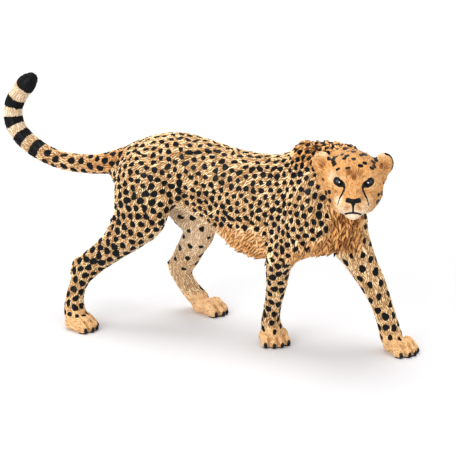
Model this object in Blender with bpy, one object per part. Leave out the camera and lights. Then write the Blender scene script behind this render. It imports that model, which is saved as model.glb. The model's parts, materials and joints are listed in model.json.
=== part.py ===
"""Toy cheetah: a solid soft-plastic figure, 99 mm long, walking with its head turned to its right.

The animal walks along +X and its left side is +Y; the paws stand on Z = 0. The figure is modelled whole, as
clay is: limbs are lofted along the bones, muscles are laid on as balls, and one voxel remesh joins them. A
few strokes carve the face. Thin cuts then part the figure where a person would name its parts.
All sizes below are in millimetres, and the last step scales the solids to metres.
"""

import math

import bmesh
import bpy
import numpy as np
from mathutils import Matrix, Vector

MM = 0.001

# ---------------------------------------------------------------- driving sizes

BODY_VOXEL, FINE_VOXEL = 0.55, 0.36  # grain of the clay: the trunk and legs, then the whole figure
BODY_FACES, HEAD_FACES, PAW_FACES = 2500, 1800, 1050  # triangles left on each before the cuts
HEAD_REACH, PAW_TOP = 9.5, 4.6  # how far the head goes from its middle, and how high the paws are
CUT_GAP = 0.2  # width of the saw cuts between parts
SIDES = {"left": 1, "right": -1}

# Trunk, from rump to chest: place along the body, top and bottom edge, half width.
TRUNK = [
    (-27.2, 39.3, 34.0, 2.2),
    (-24.5, 40.9, 30.0, 4.4),
    (-19.0, 43.4, 28.6, 5.9),
    (-12.5, 45.3, 28.2, 6.0),
    (-7.0, 44.9, 27.0, 5.6),
    (-1.5, 43.9, 24.4, 5.6),
    (4.0, 43.3, 21.4, 6.0),
    (9.0, 43.0, 20.2, 6.4),
    (14.0, 43.3, 20.4, 6.5),
    (19.0, 45.3, 21.6, 6.3),
    (24.0, 45.8, 23.8, 5.6),
    (27.6, 44.2, 26.8, 4.2),
    (29.8, 41.4, 30.6, 2.2),
]

# Each limb: points down the bone, with half its width and half its depth there.
NECK = [
    (19.0, 0.0, 38.7, 5.2, 7.6),
    (23.5, -0.6, 40.5, 5.2, 7.1),
    (27.5, -2.6, 41.5, 5.0, 6.4),
    (30.8, -5.6, 41.7, 4.6, 5.7),
]
TAIL = [
    (-22.0, 0.0, 38.4, 3.4, 3.4),
    (-26.5, 0.0, 36.9, 2.8, 2.8),
    (-31.9, 0.2, 35.5, 2.35, 2.35),
    (-35.6, 0.4, 35.1, 2.25, 2.25),
    (-39.3, 0.7, 34.9, 2.2, 2.2),
    (-42.8, 1.0, 35.2, 2.15, 2.15),
    (-46.4, 1.4, 36.0, 2.2, 2.2),
    (-49.7, 1.8, 37.4, 2.25, 2.25),
    (-52.5, 2.2, 39.2, 2.3, 2.3),
    (-54.5, 2.6, 41.5, 2.3, 2.3),
    (-55.1, 2.9, 44.2, 2.3, 2.3),
    (-54.6, 3.1, 46.7, 2.3, 2.3),
    (-53.0, 3.2, 49.3, 2.3, 2.3),
    (-51.3, 3.2, 51.3, 2.3, 2.3),
    (-50.2, 3.2, 52.4, 1.8, 1.8),
]
LEGS = {
    "front_left": [
        (23.0, 3.6, 38.5, 2.8, 4.4),
        (25.4, 4.5, 32.0, 3.3, 4.8),
        (26.2, 4.9, 26.0, 3.3, 4.6),
        (27.5, 5.3, 22.3, 3.0, 4.3),
        (29.3, 5.6, 19.1, 2.8, 3.6),
        (31.5, 5.9, 15.3, 2.55, 3.1),
        (33.6, 6.2, 10.7, 2.3, 2.55),
        (35.0, 6.4, 6.6, 2.3, 2.5),
        (36.0, 6.5, 3.2, 2.6, 2.5),
    ],
    "front_right": [
        (18.6, -3.0, 42.0, 2.2, 3.6),
        (20.4, -4.4, 35.0, 3.3, 5.4),
        (19.2, -4.9, 28.5, 3.5, 5.0),
        (15.6, -4.5, 23.7, 3.1, 3.5),
        (13.6, -3.7, 18.9, 2.7, 2.9),
        (13.0, -3.0, 15.2, 2.4, 2.5),
        (12.1, -2.3, 11.5, 2.1, 2.15),
        (11.3, -1.7, 8.4, 2.1, 2.1),
        (10.8, -1.1, 5.5, 2.3, 2.25),
        (11.0, -0.6, 3.0, 2.7, 2.5),
    ],
    "hind_left": [
        (-18.0, 3.0, 37.0, 3.0, 5.4),
        (-15.0, 4.8, 32.0, 3.7, 6.3),
        (-11.9, 5.6, 26.4, 3.5, 5.6),
        (-10.2, 6.6, 21.3, 3.0, 4.1),
        (-12.3, 7.7, 17.2, 2.7, 3.4),
        (-14.6, 8.9, 13.5, 2.45, 3.3),
        (-16.4, 9.9, 10.3, 2.25, 2.9),
        (-16.0, 10.7, 7.5, 2.1, 2.5),
        (-14.6, 11.4, 5.0, 2.2, 2.3),
        (-13.0, 12.0, 3.0, 2.5, 2.2),
    ],
    "hind_right": [
        (-18.4, -3.0, 37.0, 3.0, 5.8),
        (-18.1, -5.0, 32.0, 3.8, 7.1),
        (-18.7, -5.6, 27.0, 3.6, 6.4),
        (-21.1, -6.0, 23.2, 3.1, 4.8),
        (-24.1, -6.3, 20.0, 2.8, 3.75),
        (-27.5, -6.7, 17.0, 2.45, 3.2),
        (-30.7, -7.2, 14.2, 2.15, 3.1),
        (-32.3, -7.7, 11.8, 2.1, 2.7),
        (-33.0, -8.3, 9.5, 2.0, 2.15),
        (-33.5, -8.9, 7.2, 2.15, 2.2),
        (-33.4, -9.4, 4.6, 2.5, 2.4),
        (-32.9, -9.8, 3.0, 2.7, 2.5),
    ],
}

# Muscle and bone that stand out: centre and radii along X, Y and Z.
MUSCLES = [
    ((-17.9, -4.6, 33.0), (7.4, 3.9, 8.4)),  # right haunch
    ((-15.7, 4.4, 33.0), (7.2, 3.9, 8.2)),  # left haunch
    ((19.4, -2.5, 42.7), (3.6, 2.5, 5.7)),  # right shoulder blade
    ((22.0, 3.2, 41.0), (3.4, 1.9, 5.0)),  # left shoulder blade
    ((22.8, -5.2, 31.0), (3.6, 2.6, 4.8)),  # point of the right shoulder
    ((27.1, 4.6, 29.5), (2.6, 2.8, 4.6)),  # point of the left shoulder
    ((13.0, -4.9, 24.0), (1.7, 1.5, 1.9)),  # right elbow
    ((24.3, 5.5, 22.6), (1.7, 1.5, 1.9)),  # left elbow
    ((-14.4, -6.0, 27.2), (2.7, 2.3, 2.9)),  # right knee
    ((-8.6, 6.5, 21.8), (2.5, 2.3, 2.8)),  # left knee
    ((-33.5, -7.4, 14.5), (1.4, 1.3, 1.6)),  # right heel bone
    ((-18.4, 9.7, 11.2), (1.5, 1.3, 1.7)),  # left heel bone
    ((8.0, 0.0, 25.2), (9.5, 4.6, 5.8)),  # breastbone and its fringe of fur
    ((24.2, 0.0, 29.6), (4.5, 5.0, 6.0)),  # chest
    ((27.0, -0.6, 43.3), (5.0, 2.6, 4.3)),  # mane
]

# Paws: middle of the sole, heading (0 is straight ahead, left is positive), length and width.
PAWS = {
    "front_left": ((38.4, 6.3), -24, 7.8, 6.6),
    "front_right": ((11.2, -0.3), -48, 7.2, 6.9),
    "hind_left": ((-9.5, 11.4), -4, 8.6, 6.1),
    "hind_right": ((-31.1, -10.1), -4, 7.6, 6.2),
}

# The head has its own frame: forward, left and up from its middle.
HEAD_AT, HEAD_TURN, HEAD_TILT = (32.0, -7.36, 41.4), -69.0, 3.0
EYE_AT, EYE_R = (3.25, 2.95, 0.95), 1.3
EAR_ASIDE = {1: 6.15, -1: 6.75}  # how far from the middle each ear is; the right one stands out a little more
EYE_ROOM = 0.15  # how much wider than the eyeball its socket is

# Saw cuts square across a limb: where along its stations (2.5 is halfway from the third to the fourth), and
# the blade's radius.
ACROSS = [
    ("tail", 1.8, 4.4),
    ("tail", 4.5, 3.6),
    ("tail", 9.2, 3.6),
    ("front_left", 7.35, 3.5),
    ("front_right", 8.1, 3.5),
    ("hind_left", 8.0, 3.5),
    ("hind_right", 9.8, 3.5),
]
# Saw cuts on a plane: middle, square direction and radius; the ones for the ears are in the head's frame.
NECK_CUTS = [((25.6, -0.5, 40.9), (0.8, -0.4, 0.45), 13.0), ((28.7, -3.7, 41.5), (0.62, -0.77, 0.05), 7.5)]
EAR_CUT = ((-1.6, 5.55, 3.05), (0.0, 0.86, 0.5), 3.8)
# Rounded boxes whose walls are saw cuts that free the shoulders and the haunches: centre, half sizes, how
# round the corners are, and how far the box leans, in degrees; a positive lean swings its foot to the tail.
BOXES = [
    ((26.4, 8.0, 27.6), (6.2, 6.9, 8.4), 3.0, -13),
    ((17.5, -7.2, 28.6), (6.3, 7.4, 10.8), 3.0, 15),
    ((-13.2, 8.5, 29.0), (7.8, 7.6, 11.6), 4.5, -25),
    ((-17.5, -8.0, 31.0), (8.3, 7.2, 11.6), 4.5, 25),
]

# Where each loose part's middle is, so that it gets its name.
ANCHORS = {
    "trunk": (2.0, 0.0, 33.0),
    "neck": (26.5, -2.0, 41.5),
    "head": (33.0, -10.0, 41.0),
    "ear_left": (36.9, -3.2, 45.4),
    "ear_right": (25.2, -8.7, 45.4),
    "tail_base": (-35.0, 0.4, 35.2),
    "tail_middle": (-49.0, 1.8, 37.5),
    "tail_tip": (-53.5, 3.1, 48.5),
    "front_left_upper": (26.0, 5.6, 28.0),
    "front_left_lower": (31.4, 5.9, 14.0),
    "front_left_paw": (38.0, 6.3, 2.5),
    "front_right_upper": (19.5, -5.5, 31.0),
    "front_right_lower": (13.0, -3.0, 14.0),
    "front_right_paw": (11.2, -0.4, 2.5),
    "hind_left_upper": (-13.5, 6.0, 29.5),
    "hind_left_lower": (-13.8, 8.8, 13.5),
    "hind_left_paw": (-10.5, 11.6, 2.5),
    "hind_right_upper": (-18.0, -6.0, 31.0),
    "hind_right_lower": (-28.5, -7.2, 15.0),
    "hind_right_paw": (-31.5, -10.0, 2.5),
}


def head_frame():
    return (
        Matrix.Translation(HEAD_AT)
        @ Matrix.Rotation(math.radians(HEAD_TURN), 4, "Z")
        @ Matrix.Rotation(math.radians(-HEAD_TILT), 4, "Y")
    )


# ---------------------------------------------------------------- clay


def ball(bm, at, radii, frame=Matrix(), detail=3):
    """An ellipsoid of clay."""
    shape = Matrix.Translation(at) @ Matrix.Diagonal((*radii, 1.0))
    bmesh.ops.create_icosphere(bm, subdivisions=detail, radius=1.0, matrix=frame @ shape)


def between(stations, steps):
    """The stations of a limb with smooth ones between them (a Catmull-Rom spline)."""
    rows = [np.array(s, float) for s in stations]
    rows = [2 * rows[0] - rows[1], *rows, 2 * rows[-1] - rows[-2]]
    out = []
    for a, b, c, d in zip(rows, rows[1:], rows[2:], rows[3:]):
        for i in range(steps):
            t = i / steps
            out.append(
                0.5 * (2 * b + (c - a) * t + (2 * a - 5 * b + 4 * c - d) * t * t
                       + (3 * b - a - 3 * c + d) * t * t * t)
            )
    return [*out, rows[-2]]


def limb(bm, stations, frame=Matrix(), across=(0, 1, 0), sides=20, steps=3):
    """A tube through the stations (x, y, z, half width, half depth), with rounded ends."""
    rows = between(stations, steps)
    rings = []
    for i, row in enumerate(rows):
        ahead, behind = rows[min(i + 1, len(rows) - 1)], rows[max(i - 1, 0)]
        along = Vector(ahead[:3] - behind[:3]).normalized()
        side = (Vector(across) - along * along.dot(Vector(across))).normalized()
        turn = Matrix((side, along.cross(side), along)).transposed().to_4x4()
        place = frame @ Matrix.Translation(row[:3]) @ turn @ Matrix.Diagonal((row[3], row[4], 1, 1))
        made = bmesh.ops.create_circle(bm, segments=sides, radius=1.0, matrix=place)
        rings.append(made["verts"])
    for lower, upper in zip(rings, rings[1:]):
        edges = {e for v in (*lower, *upper) for e in v.link_edges}
        ends = set(lower), set(upper)
        loops = [e for e in edges if any(set(e.verts) <= end for end in ends)]
        bmesh.ops.bridge_loops(bm, edges=loops)
    bmesh.ops.holes_fill(bm, edges=[e for e in bm.edges if e.is_boundary], sides=0)
    for row in (rows[0], rows[-1]):
        ball(bm, row[:3], (row[3], row[3], row[4]), frame, detail=2)


def fired(name, bm, voxel, rounds, keep=()):
    """One skin round all the clay in bm and in the meshes of keep, smoothed by so many rounds."""
    for mesh in keep:
        bm.from_mesh(mesh)
    bmesh.ops.recalc_face_normals(bm, faces=bm.faces)
    mesh = bpy.data.meshes.new(name)
    bm.to_mesh(mesh)
    bm.free()
    lump = bpy.data.objects.new(name, mesh)
    bpy.context.collection.objects.link(lump)
    remesh = lump.modifiers.new("one skin", "REMESH")
    remesh.mode = "VOXEL"
    remesh.voxel_size = voxel
    smooth = lump.modifiers.new("thumb", "SMOOTH")
    smooth.factor = 0.5
    smooth.iterations = rounds
    graph = bpy.context.evaluated_depsgraph_get()
    skin = bpy.data.meshes.new_from_object(lump.evaluated_get(graph))
    bpy.data.objects.remove(lump)
    return skin


def knead(mesh, rounds, where):
    """Smooths the clay again, where the test on its points holds."""
    bm = bmesh.new()
    bm.from_mesh(mesh)
    soft = [v for v in bm.verts if where(v.co)]
    for _ in range(rounds):
        bmesh.ops.smooth_vert(bm, verts=soft, factor=0.5, use_axis_x=True, use_axis_y=True, use_axis_z=True)
    bm.to_mesh(mesh)
    bm.free()


def coordinates(mesh):
    co = np.empty(len(mesh.vertices) * 3)
    mesh.vertices.foreach_get("co", co)
    return co.reshape(-1, 3)


def carve(mesh, strokes, frame=Matrix()):
    """Moves clay in or out. A stroke is a line of points, its reach, and how far it lifts the skin."""
    co = coordinates(mesh)
    normals = np.array([v.normal for v in mesh.vertices])
    for points, reach, lift in strokes:
        line = np.array([frame @ Vector(p) for p in points])
        near = np.full(len(co), np.inf)
        for a, b in zip(line, line[1:] if len(line) > 1 else line):
            run = b - a
            t = np.clip(((co - a) @ run) / max(run @ run, 1e-9), 0, 1)
            near = np.minimum(near, np.linalg.norm(co - a - t[:, None] * run, axis=1))
        fade = np.clip(1 - (near / reach) ** 2, 0, None) ** 2
        co += normals * (fade * lift)[:, None]
    mesh.vertices.foreach_set("co", co.ravel())
    mesh.update()


# ---------------------------------------------------------------- the figure


def trunk_clay(bm):
    stations = [(x, 0, (top + low) / 2, wide, (top - low) / 2) for x, top, low, wide in TRUNK]
    limb(bm, stations, sides=28)
    limb(bm, NECK)
    limb(bm, TAIL)
    for leg in LEGS.values():
        limb(bm, leg)
    for at, radii in MUSCLES:
        ball(bm, at, radii)


def paw_clay(bm, at, heading, length, width):
    """A pad with a wrist above it and four toes, each a knuckle and a tip."""
    frame = Matrix.Translation((*at, 0)) @ Matrix.Rotation(math.radians(heading), 4, "Z")
    ball(bm, (-0.26 * length, 0, 1.5), (0.29 * length, 0.42 * width, 1.9), frame)
    ball(bm, (0.0, 0, 1.4), (0.34 * length, 0.43 * width, 2.1), frame)
    for i in range(4):
        off = (i - 1.5) / 1.5
        tip = (0.31 - 0.13 * off * off) * length
        spread = 0.35 * width * off
        ball(bm, (tip - 1.4, 0.92 * spread, 2.0), (1.7, 0.95, 1.45), frame)
        ball(bm, (tip, spread, 1.0), (1.4, 0.9, 1.4), frame)


def head_clay():
    bm = bmesh.new()
    ball(bm, (-1.0, 0, 1.7), (5.5, 5.4, 4.9))  # brain case
    ball(bm, (0.7, 0, 2.6), (3.6, 4.7, 3.7))  # forehead
    limb(bm, [(2.2, 0, 2.2, 3.2, 1.9), (4.8, 0, 0.4, 2.3, 1.8), (7.5, 0, -1.85, 1.65, 1.2)])
    ball(bm, (4.8, 0, -3.1), (3.7, 3.1, 2.7))  # muzzle
    ball(bm, (8.1, 0, -1.95), (0.95, 1.6, 0.7))  # nose
    ball(bm, (6.3, 0, -5.2), (1.6, 1.7, 1.15))  # chin
    ball(bm, (3.2, 0, -4.9), (3.6, 2.6, 1.5))  # lower jaw
    ball(bm, (-1.8, 0, -2.6), (4.2, 4.2, 3.6))  # throat
    for side in SIDES.values():
        ball(bm, (0.5, 3.1 * side, -1.2), (3.9, 3.1, 4.2))  # cheek
        ball(bm, (3.4, 2.4 * side, -1.6), (2.5, 2.1, 2.7))  # under the eye
        ball(bm, (2.0, 2.5 * side, -3.6), (3.5, 2.3, 2.3))  # jaw muscle
        ball(bm, (2.3, 2.9 * side, 2.7), (1.8, 2.0, 1.4))  # brow
        ball(bm, (6.7, 1.4 * side, -3.45), (1.9, 1.75, 1.6))  # whisker pad
        ball(bm, (-1.6, 4.9 * side, 1.9), (2.6, 2.1, 3.3))  # root of the ear
    return bm


def ear_clay(bm, frame, side):
    """A rounded flap that faces forward and outward."""
    turn = Matrix.Translation((-1.7, EAR_ASIDE[side] * side, 3.7)) @ Matrix.Rotation(math.radians(28 * side), 4, "Z")
    ball(bm, (0, 0, 0), (0.95, 2.3, 2.45), frame @ turn @ Matrix.Rotation(math.radians(-12), 4, "Y"))


def head_mesh():
    skin = fired("head", head_clay(), 0.3, 10)
    strokes = []
    for side in SIDES.values():
        x, y, z = EYE_AT
        strokes += [
            ([(x + 1.0, y * side, z)], 1.8, -0.4),  # eye socket
            ([(5.2, 2.3 * side, -0.8), (6.8, 2.2 * side, -2.0)], 1.2, -0.12),  # hollow beside the nose
            ([(8.5, 0.1 * side, -4.4), (7.4, 1.9 * side, -5.1), (5.6, 2.9 * side, -5.0)], 0.6, -0.3),  # lips
        ]
    strokes.append(([(8.9, 0, -2.6), (8.7, 0, -4.2)], 0.5, -0.25))  # split of the upper lip
    carve(skin, strokes)
    return skin


def figure():
    frame = head_frame()
    bm = bmesh.new()
    trunk_clay(bm)
    body = fired("body", bm, BODY_VOXEL, 6)
    knead(body, 16, lambda co: co.z > 25 and -25 < co.x < 28)
    head = head_mesh()
    head.transform(frame)
    bm = bmesh.new()
    for side in SIDES.values():
        ear_clay(bm, frame, side)
    for paw in PAWS.values():
        paw_clay(bm, *paw)
    skin = fired("figure", bm, FINE_VOXEL, 3, keep=(body, head))
    cups = [([(-0.1, (EAR_ASIDE[side] + 0.2) * side, 4.0)], 2.0, -0.7) for side in SIDES.values()]
    carve(skin, cups, frame)
    return skin


# ---------------------------------------------------------------- thinning, cutting, naming


def as_object(name, mesh):
    made = bpy.data.objects.new(name, mesh)
    bpy.context.collection.objects.link(made)
    return made


def baked(thing):
    """The mesh of an object once its modifiers have run; the object goes."""
    graph = bpy.context.evaluated_depsgraph_get()
    mesh = bpy.data.meshes.new_from_object(thing.evaluated_get(graph))
    bpy.data.objects.remove(thing)
    return mesh


def thinned(mesh, where, faces):
    """Thins the part of a mesh where the test on its points holds, to so many triangles."""
    kept = np.flatnonzero(~where(coordinates(mesh)))
    rest = set(map(int, kept))
    rest_faces = sum(len(f.vertices) - 2 for f in mesh.polygons if rest.issuperset(f.vertices))
    all_faces = sum(len(f.vertices) - 2 for f in mesh.polygons)
    thing = as_object("thinned", mesh)
    thing.vertex_groups.clear()  # the mesh still has the group of the round before
    group = thing.vertex_groups.new(name="rest")
    group.add(kept.tolist(), 1.0, "REPLACE")
    thin = thing.modifiers.new("thin", "DECIMATE")
    thin.ratio = (rest_faces + faces) / all_faces
    thin.vertex_group = "rest"
    thin.invert_vertex_group = True
    thin.vertex_group_factor = 1.0
    return baked(thing)


def on_head(co):
    return np.linalg.norm(co - np.array(HEAD_AT), axis=1) < HEAD_REACH


def on_paws(co):
    return co[:, 2] < PAW_TOP


def soled(mesh):
    """Cuts the paws flat at the floor."""
    bm = bmesh.new()
    bm.from_mesh(mesh)
    everything = [*bm.verts, *bm.edges, *bm.faces]
    bmesh.ops.bisect_plane(bm, geom=everything, plane_co=(0, 0, 0), plane_no=(0, 0, 1), clear_inner=True)
    bmesh.ops.holes_fill(bm, edges=[e for e in bm.edges if e.is_boundary], sides=0)
    bmesh.ops.recalc_face_normals(bm, faces=bm.faces)
    bm.to_mesh(mesh)
    bm.free()
    return mesh


def disc(at, square, radius, frame=Matrix()):
    """A saw cut as a thin round plate."""
    bm = bmesh.new()
    place = frame @ Matrix.Translation(at) @ Vector(square).to_track_quat("Z", "Y").to_matrix().to_4x4()
    bmesh.ops.create_cone(
        bm, cap_ends=True, segments=24, radius1=radius, radius2=radius, depth=CUT_GAP, matrix=place
    )
    return bm


def box(at, half, corner, lean):
    """A saw cut as the thin wall of a rounded box."""
    bm = bmesh.new()
    frame = Matrix.Translation(at) @ Matrix.Rotation(math.radians(lean), 4, "Y")
    for grow in (0, CUT_GAP):
        size = Matrix.Diagonal((*(h + grow for h in half), 1))
        made = bmesh.ops.create_cube(bm, size=2.0, matrix=frame @ size)
        edges = list({e for v in made["verts"] for e in v.link_edges})
        bmesh.ops.bevel(bm, geom=edges, offset=corner + grow, segments=3, profile=0.5, affect="EDGES")
        if not grow:
            bmesh.ops.reverse_faces(bm, faces=bm.faces)
    return bm


def cut(mesh, bm):
    """Takes the cutter out of the mesh."""
    blade = bpy.data.meshes.new("blade")
    bm.to_mesh(blade)
    bm.free()
    tool, work = as_object("blade", blade), as_object("work", mesh)
    saw = work.modifiers.new("saw", "BOOLEAN")
    saw.operation, saw.solver, saw.object = "DIFFERENCE", "EXACT", tool
    done = baked(work)
    bpy.data.objects.remove(tool)
    return done


def cut_up(mesh):
    """All the parts that the saw cuts leave."""
    frame, limbs, parts = head_frame(), {"tail": TAIL, **LEGS}, [mesh]
    blades = []
    for side in SIDES.values():
        flip = Matrix.Diagonal((1, side, 1))
        socket = bmesh.new()
        ball(socket, flip @ Vector(EYE_AT), [EYE_R + EYE_ROOM] * 3, frame, detail=2)
        at, square, radius = EAR_CUT
        blades += [socket, disc(flip @ Vector(at), flip @ Vector(square), radius, frame)]
    blades += [disc(*plane) for plane in NECK_CUTS]
    blades += [box(*sizes) for sizes in BOXES]
    for name, place, radius in ACROSS:
        i, t = int(place), place % 1
        a, b = (np.array(limbs[name][k][:3]) for k in (i, i + 1))
        blades.append(disc(a + (b - a) * t, b - a, radius))
    for blade in blades:
        points = np.array([v.co for v in blade.verts])
        low, high = points.min(0), points.max(0)
        done = []
        for part in parts:
            co = coordinates(part)
            met = (co.max(0) > low).all() and (co.min(0) < high).all()
            done += loose_parts(cut(part, blade.copy())) if met else [part]
        parts = done
    return parts


def loose_parts(mesh):
    """One mesh for each piece that the cuts have freed."""
    bm = bmesh.new()
    bm.from_mesh(mesh)
    bmesh.ops.dissolve_degenerate(bm, dist=0.004, edges=bm.edges)
    bm.faces.index_update()
    left, islands = set(bm.faces), []
    while left:
        island, edge = set(), [left.pop()]
        while edge:
            face = edge.pop()
            island.add(face.index)
            for e in face.edges:
                edge.extend(f for f in e.link_faces if f in left)
                left.difference_update(e.link_faces)
        islands.append(island)
    parts = []
    for island in islands:
        copy = bm.copy()
        other = [f for f in copy.faces if f.index not in island]
        bmesh.ops.delete(copy, geom=other, context="FACES")
        parts.append(bpy.data.meshes.new("part"))
        copy.to_mesh(parts[-1])
        copy.free()
    bm.free()
    return parts


def paint(name, colour, roughness):
    made = bpy.data.materials.new(name)
    made.use_nodes = True
    shader = made.node_tree.nodes["Principled BSDF"]
    shader.inputs["Base Color"].default_value = (*colour, 1)
    shader.inputs["Roughness"].default_value = roughness
    made.diffuse_color = (*colour, 1)
    return made


def build():
    for old in list(bpy.data.objects):
        bpy.data.objects.remove(old)
    coat = paint("coat_paint", (0.72, 0.44, 0.19), 0.55)
    gloss = paint("black_gloss", (0.01, 0.01, 0.012), 0.1)
    solids = {}
    whole = figure()
    whole = thinned(whole, lambda co: ~on_head(co) & ~on_paws(co), BODY_FACES)
    whole = thinned(whole, on_head, HEAD_FACES)
    whole = thinned(whole, on_paws, PAW_FACES)
    for mesh in cut_up(soled(whole)):
        co = coordinates(mesh)
        middle = (co.min(0) + co.max(0)) / 2
        name = min(ANCHORS, key=lambda n: np.linalg.norm(middle - ANCHORS[n]))
        print(f"{name:20s} {len(mesh.polygons):5d} faces, middle", middle.round(1))
        assert name not in solids, f"two parts want the name {name}"
        mesh.materials.append(coat)
        solids[name] = mesh
    assert set(solids) == set(ANCHORS), set(ANCHORS) - set(solids)
    for name, side in SIDES.items():
        bm = bmesh.new()
        at = Vector(EYE_AT) * Vector((1, side, 1))
        place = head_frame() @ Matrix.Translation(at) @ Matrix.Rotation(math.pi / 2, 4, "Y")
        bmesh.ops.create_uvsphere(bm, u_segments=14, v_segments=9, radius=EYE_R, matrix=place)
        mesh = bpy.data.meshes.new("part")
        bm.to_mesh(mesh)
        bm.free()
        mesh.materials.append(gloss)
        solids[f"eye_{name}"] = mesh

    # The origin goes to the middle of the footprint's box, on the floor, and millimetres become metres.
    co = np.concatenate([coordinates(mesh) for mesh in solids.values()])
    low, high = co.min(0), co.max(0)
    middle = (low + high) / 2
    home = Matrix.Scale(MM, 4) @ Matrix.Translation((-middle[0], -middle[1], -low[2]))
    for name, mesh in solids.items():
        mesh.transform(home)
        mesh.name = name
        as_object(name, mesh)
    print("size", (high - low).round(2), "mm; shifted by", (-(low + high) / 2).round(3)[:2])


build()
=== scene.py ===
"""A hand-painted toy cheetah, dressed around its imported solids. Run it in Blender 4.5."""

# %% [markdown]
# # A hand-painted toy cheetah
#
# The real thing is soft plastic, about 10 cm long. Its fur was engraved in the mould stroke by stroke. A
# painter laid a tan coat over it, let a thin brown run into the grooves and dabbed on the black. This
# file does the same jobs in the same order: clay, carving, fur strokes, paint, eyes and claws, studio.

import json
import math
import time

import bmesh
import bpy
import numpy as np
from mathutils import Matrix, Vector
from mathutils.bvhtree import BVHTree
from mathutils.kdtree import KDTree

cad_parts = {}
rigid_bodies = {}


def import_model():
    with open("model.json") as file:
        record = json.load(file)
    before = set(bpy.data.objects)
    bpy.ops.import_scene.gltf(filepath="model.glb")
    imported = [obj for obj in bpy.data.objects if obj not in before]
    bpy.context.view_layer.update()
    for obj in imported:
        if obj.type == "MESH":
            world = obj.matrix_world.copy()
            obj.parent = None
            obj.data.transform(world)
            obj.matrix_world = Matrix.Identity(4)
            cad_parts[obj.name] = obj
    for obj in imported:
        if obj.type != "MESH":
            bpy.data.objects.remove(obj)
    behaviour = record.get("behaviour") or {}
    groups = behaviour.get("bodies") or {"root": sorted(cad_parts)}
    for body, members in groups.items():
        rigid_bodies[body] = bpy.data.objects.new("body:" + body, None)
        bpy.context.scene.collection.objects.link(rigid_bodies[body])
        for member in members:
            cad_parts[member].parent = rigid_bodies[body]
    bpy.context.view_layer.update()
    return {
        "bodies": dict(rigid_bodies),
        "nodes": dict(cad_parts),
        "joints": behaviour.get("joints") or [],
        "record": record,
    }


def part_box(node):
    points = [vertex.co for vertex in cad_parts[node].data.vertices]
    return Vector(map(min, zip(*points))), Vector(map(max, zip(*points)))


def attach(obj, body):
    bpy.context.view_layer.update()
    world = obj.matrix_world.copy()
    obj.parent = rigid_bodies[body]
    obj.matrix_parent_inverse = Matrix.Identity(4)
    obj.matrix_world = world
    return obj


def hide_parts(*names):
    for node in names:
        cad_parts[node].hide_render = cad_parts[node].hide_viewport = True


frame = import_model()
started = time.time()


def told(*words):
    """Prints what is done, and how many seconds have gone by."""
    print(*words, round(time.time() - started, 1), "s")


# %% [markdown]
# ## The plan of the body
#
# The clay is built from the same bones as the solids: stations down each limb with half its width and
# half its depth, and balls of muscle laid on them. Sizes are in millimetres, the animal walks along +X
# and its left side is +Y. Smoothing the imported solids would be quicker, but they are only as fine as
# their facets, and the fur and the markings need to know which way each limb runs.

# %% Bones, muscles and paws
MM = 0.001
SIDES = (1, -1)  # left and right

TRUNK = [  # place along the body, top and bottom edge, half width
    (-27.2, 39.3, 34.0, 2.2),
    (-24.5, 40.9, 30.0, 4.4),
    (-19.0, 43.4, 28.6, 5.9),
    (-12.5, 45.3, 28.2, 6.0),
    (-7.0, 44.9, 27.0, 5.6),
    (-1.5, 43.9, 24.4, 5.6),
    (4.0, 43.3, 21.4, 6.0),
    (9.0, 43.0, 20.2, 6.4),
    (14.0, 43.3, 20.4, 6.5),
    (19.0, 45.3, 21.6, 6.3),
    (24.0, 45.8, 23.8, 5.6),
    (27.6, 44.2, 26.8, 4.2),
    (29.8, 41.4, 30.6, 2.2),
]
SPINE = [(x, 0, (top + low) / 2, wide, (top - low) / 2) for x, top, low, wide in TRUNK]
NECK = [
    (19.0, 0.0, 38.7, 5.2, 7.6),
    (23.5, -0.6, 40.5, 5.2, 7.1),
    (27.5, -2.6, 41.5, 5.0, 6.4),
    (30.8, -5.6, 41.7, 4.6, 5.7),
]
TAIL = [
    (-22.0, 0.0, 38.4, 3.4, 3.4),
    (-26.5, 0.0, 36.9, 2.8, 2.8),
    (-31.9, 0.2, 35.5, 2.35, 2.35),
    (-35.6, 0.4, 35.1, 2.25, 2.25),
    (-39.3, 0.7, 34.9, 2.2, 2.2),
    (-42.8, 1.0, 35.2, 2.15, 2.15),
    (-46.4, 1.4, 36.0, 2.2, 2.2),
    (-49.7, 1.8, 37.4, 2.25, 2.25),
    (-52.5, 2.2, 39.2, 2.3, 2.3),
    (-54.5, 2.6, 41.5, 2.3, 2.3),
    (-55.1, 2.9, 44.2, 2.3, 2.3),
    (-54.6, 3.1, 46.7, 2.3, 2.3),
    (-53.0, 3.2, 49.3, 2.3, 2.3),
    (-51.3, 3.2, 51.3, 2.3, 2.3),
    (-50.2, 3.2, 52.4, 1.8, 1.8),
]
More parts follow.
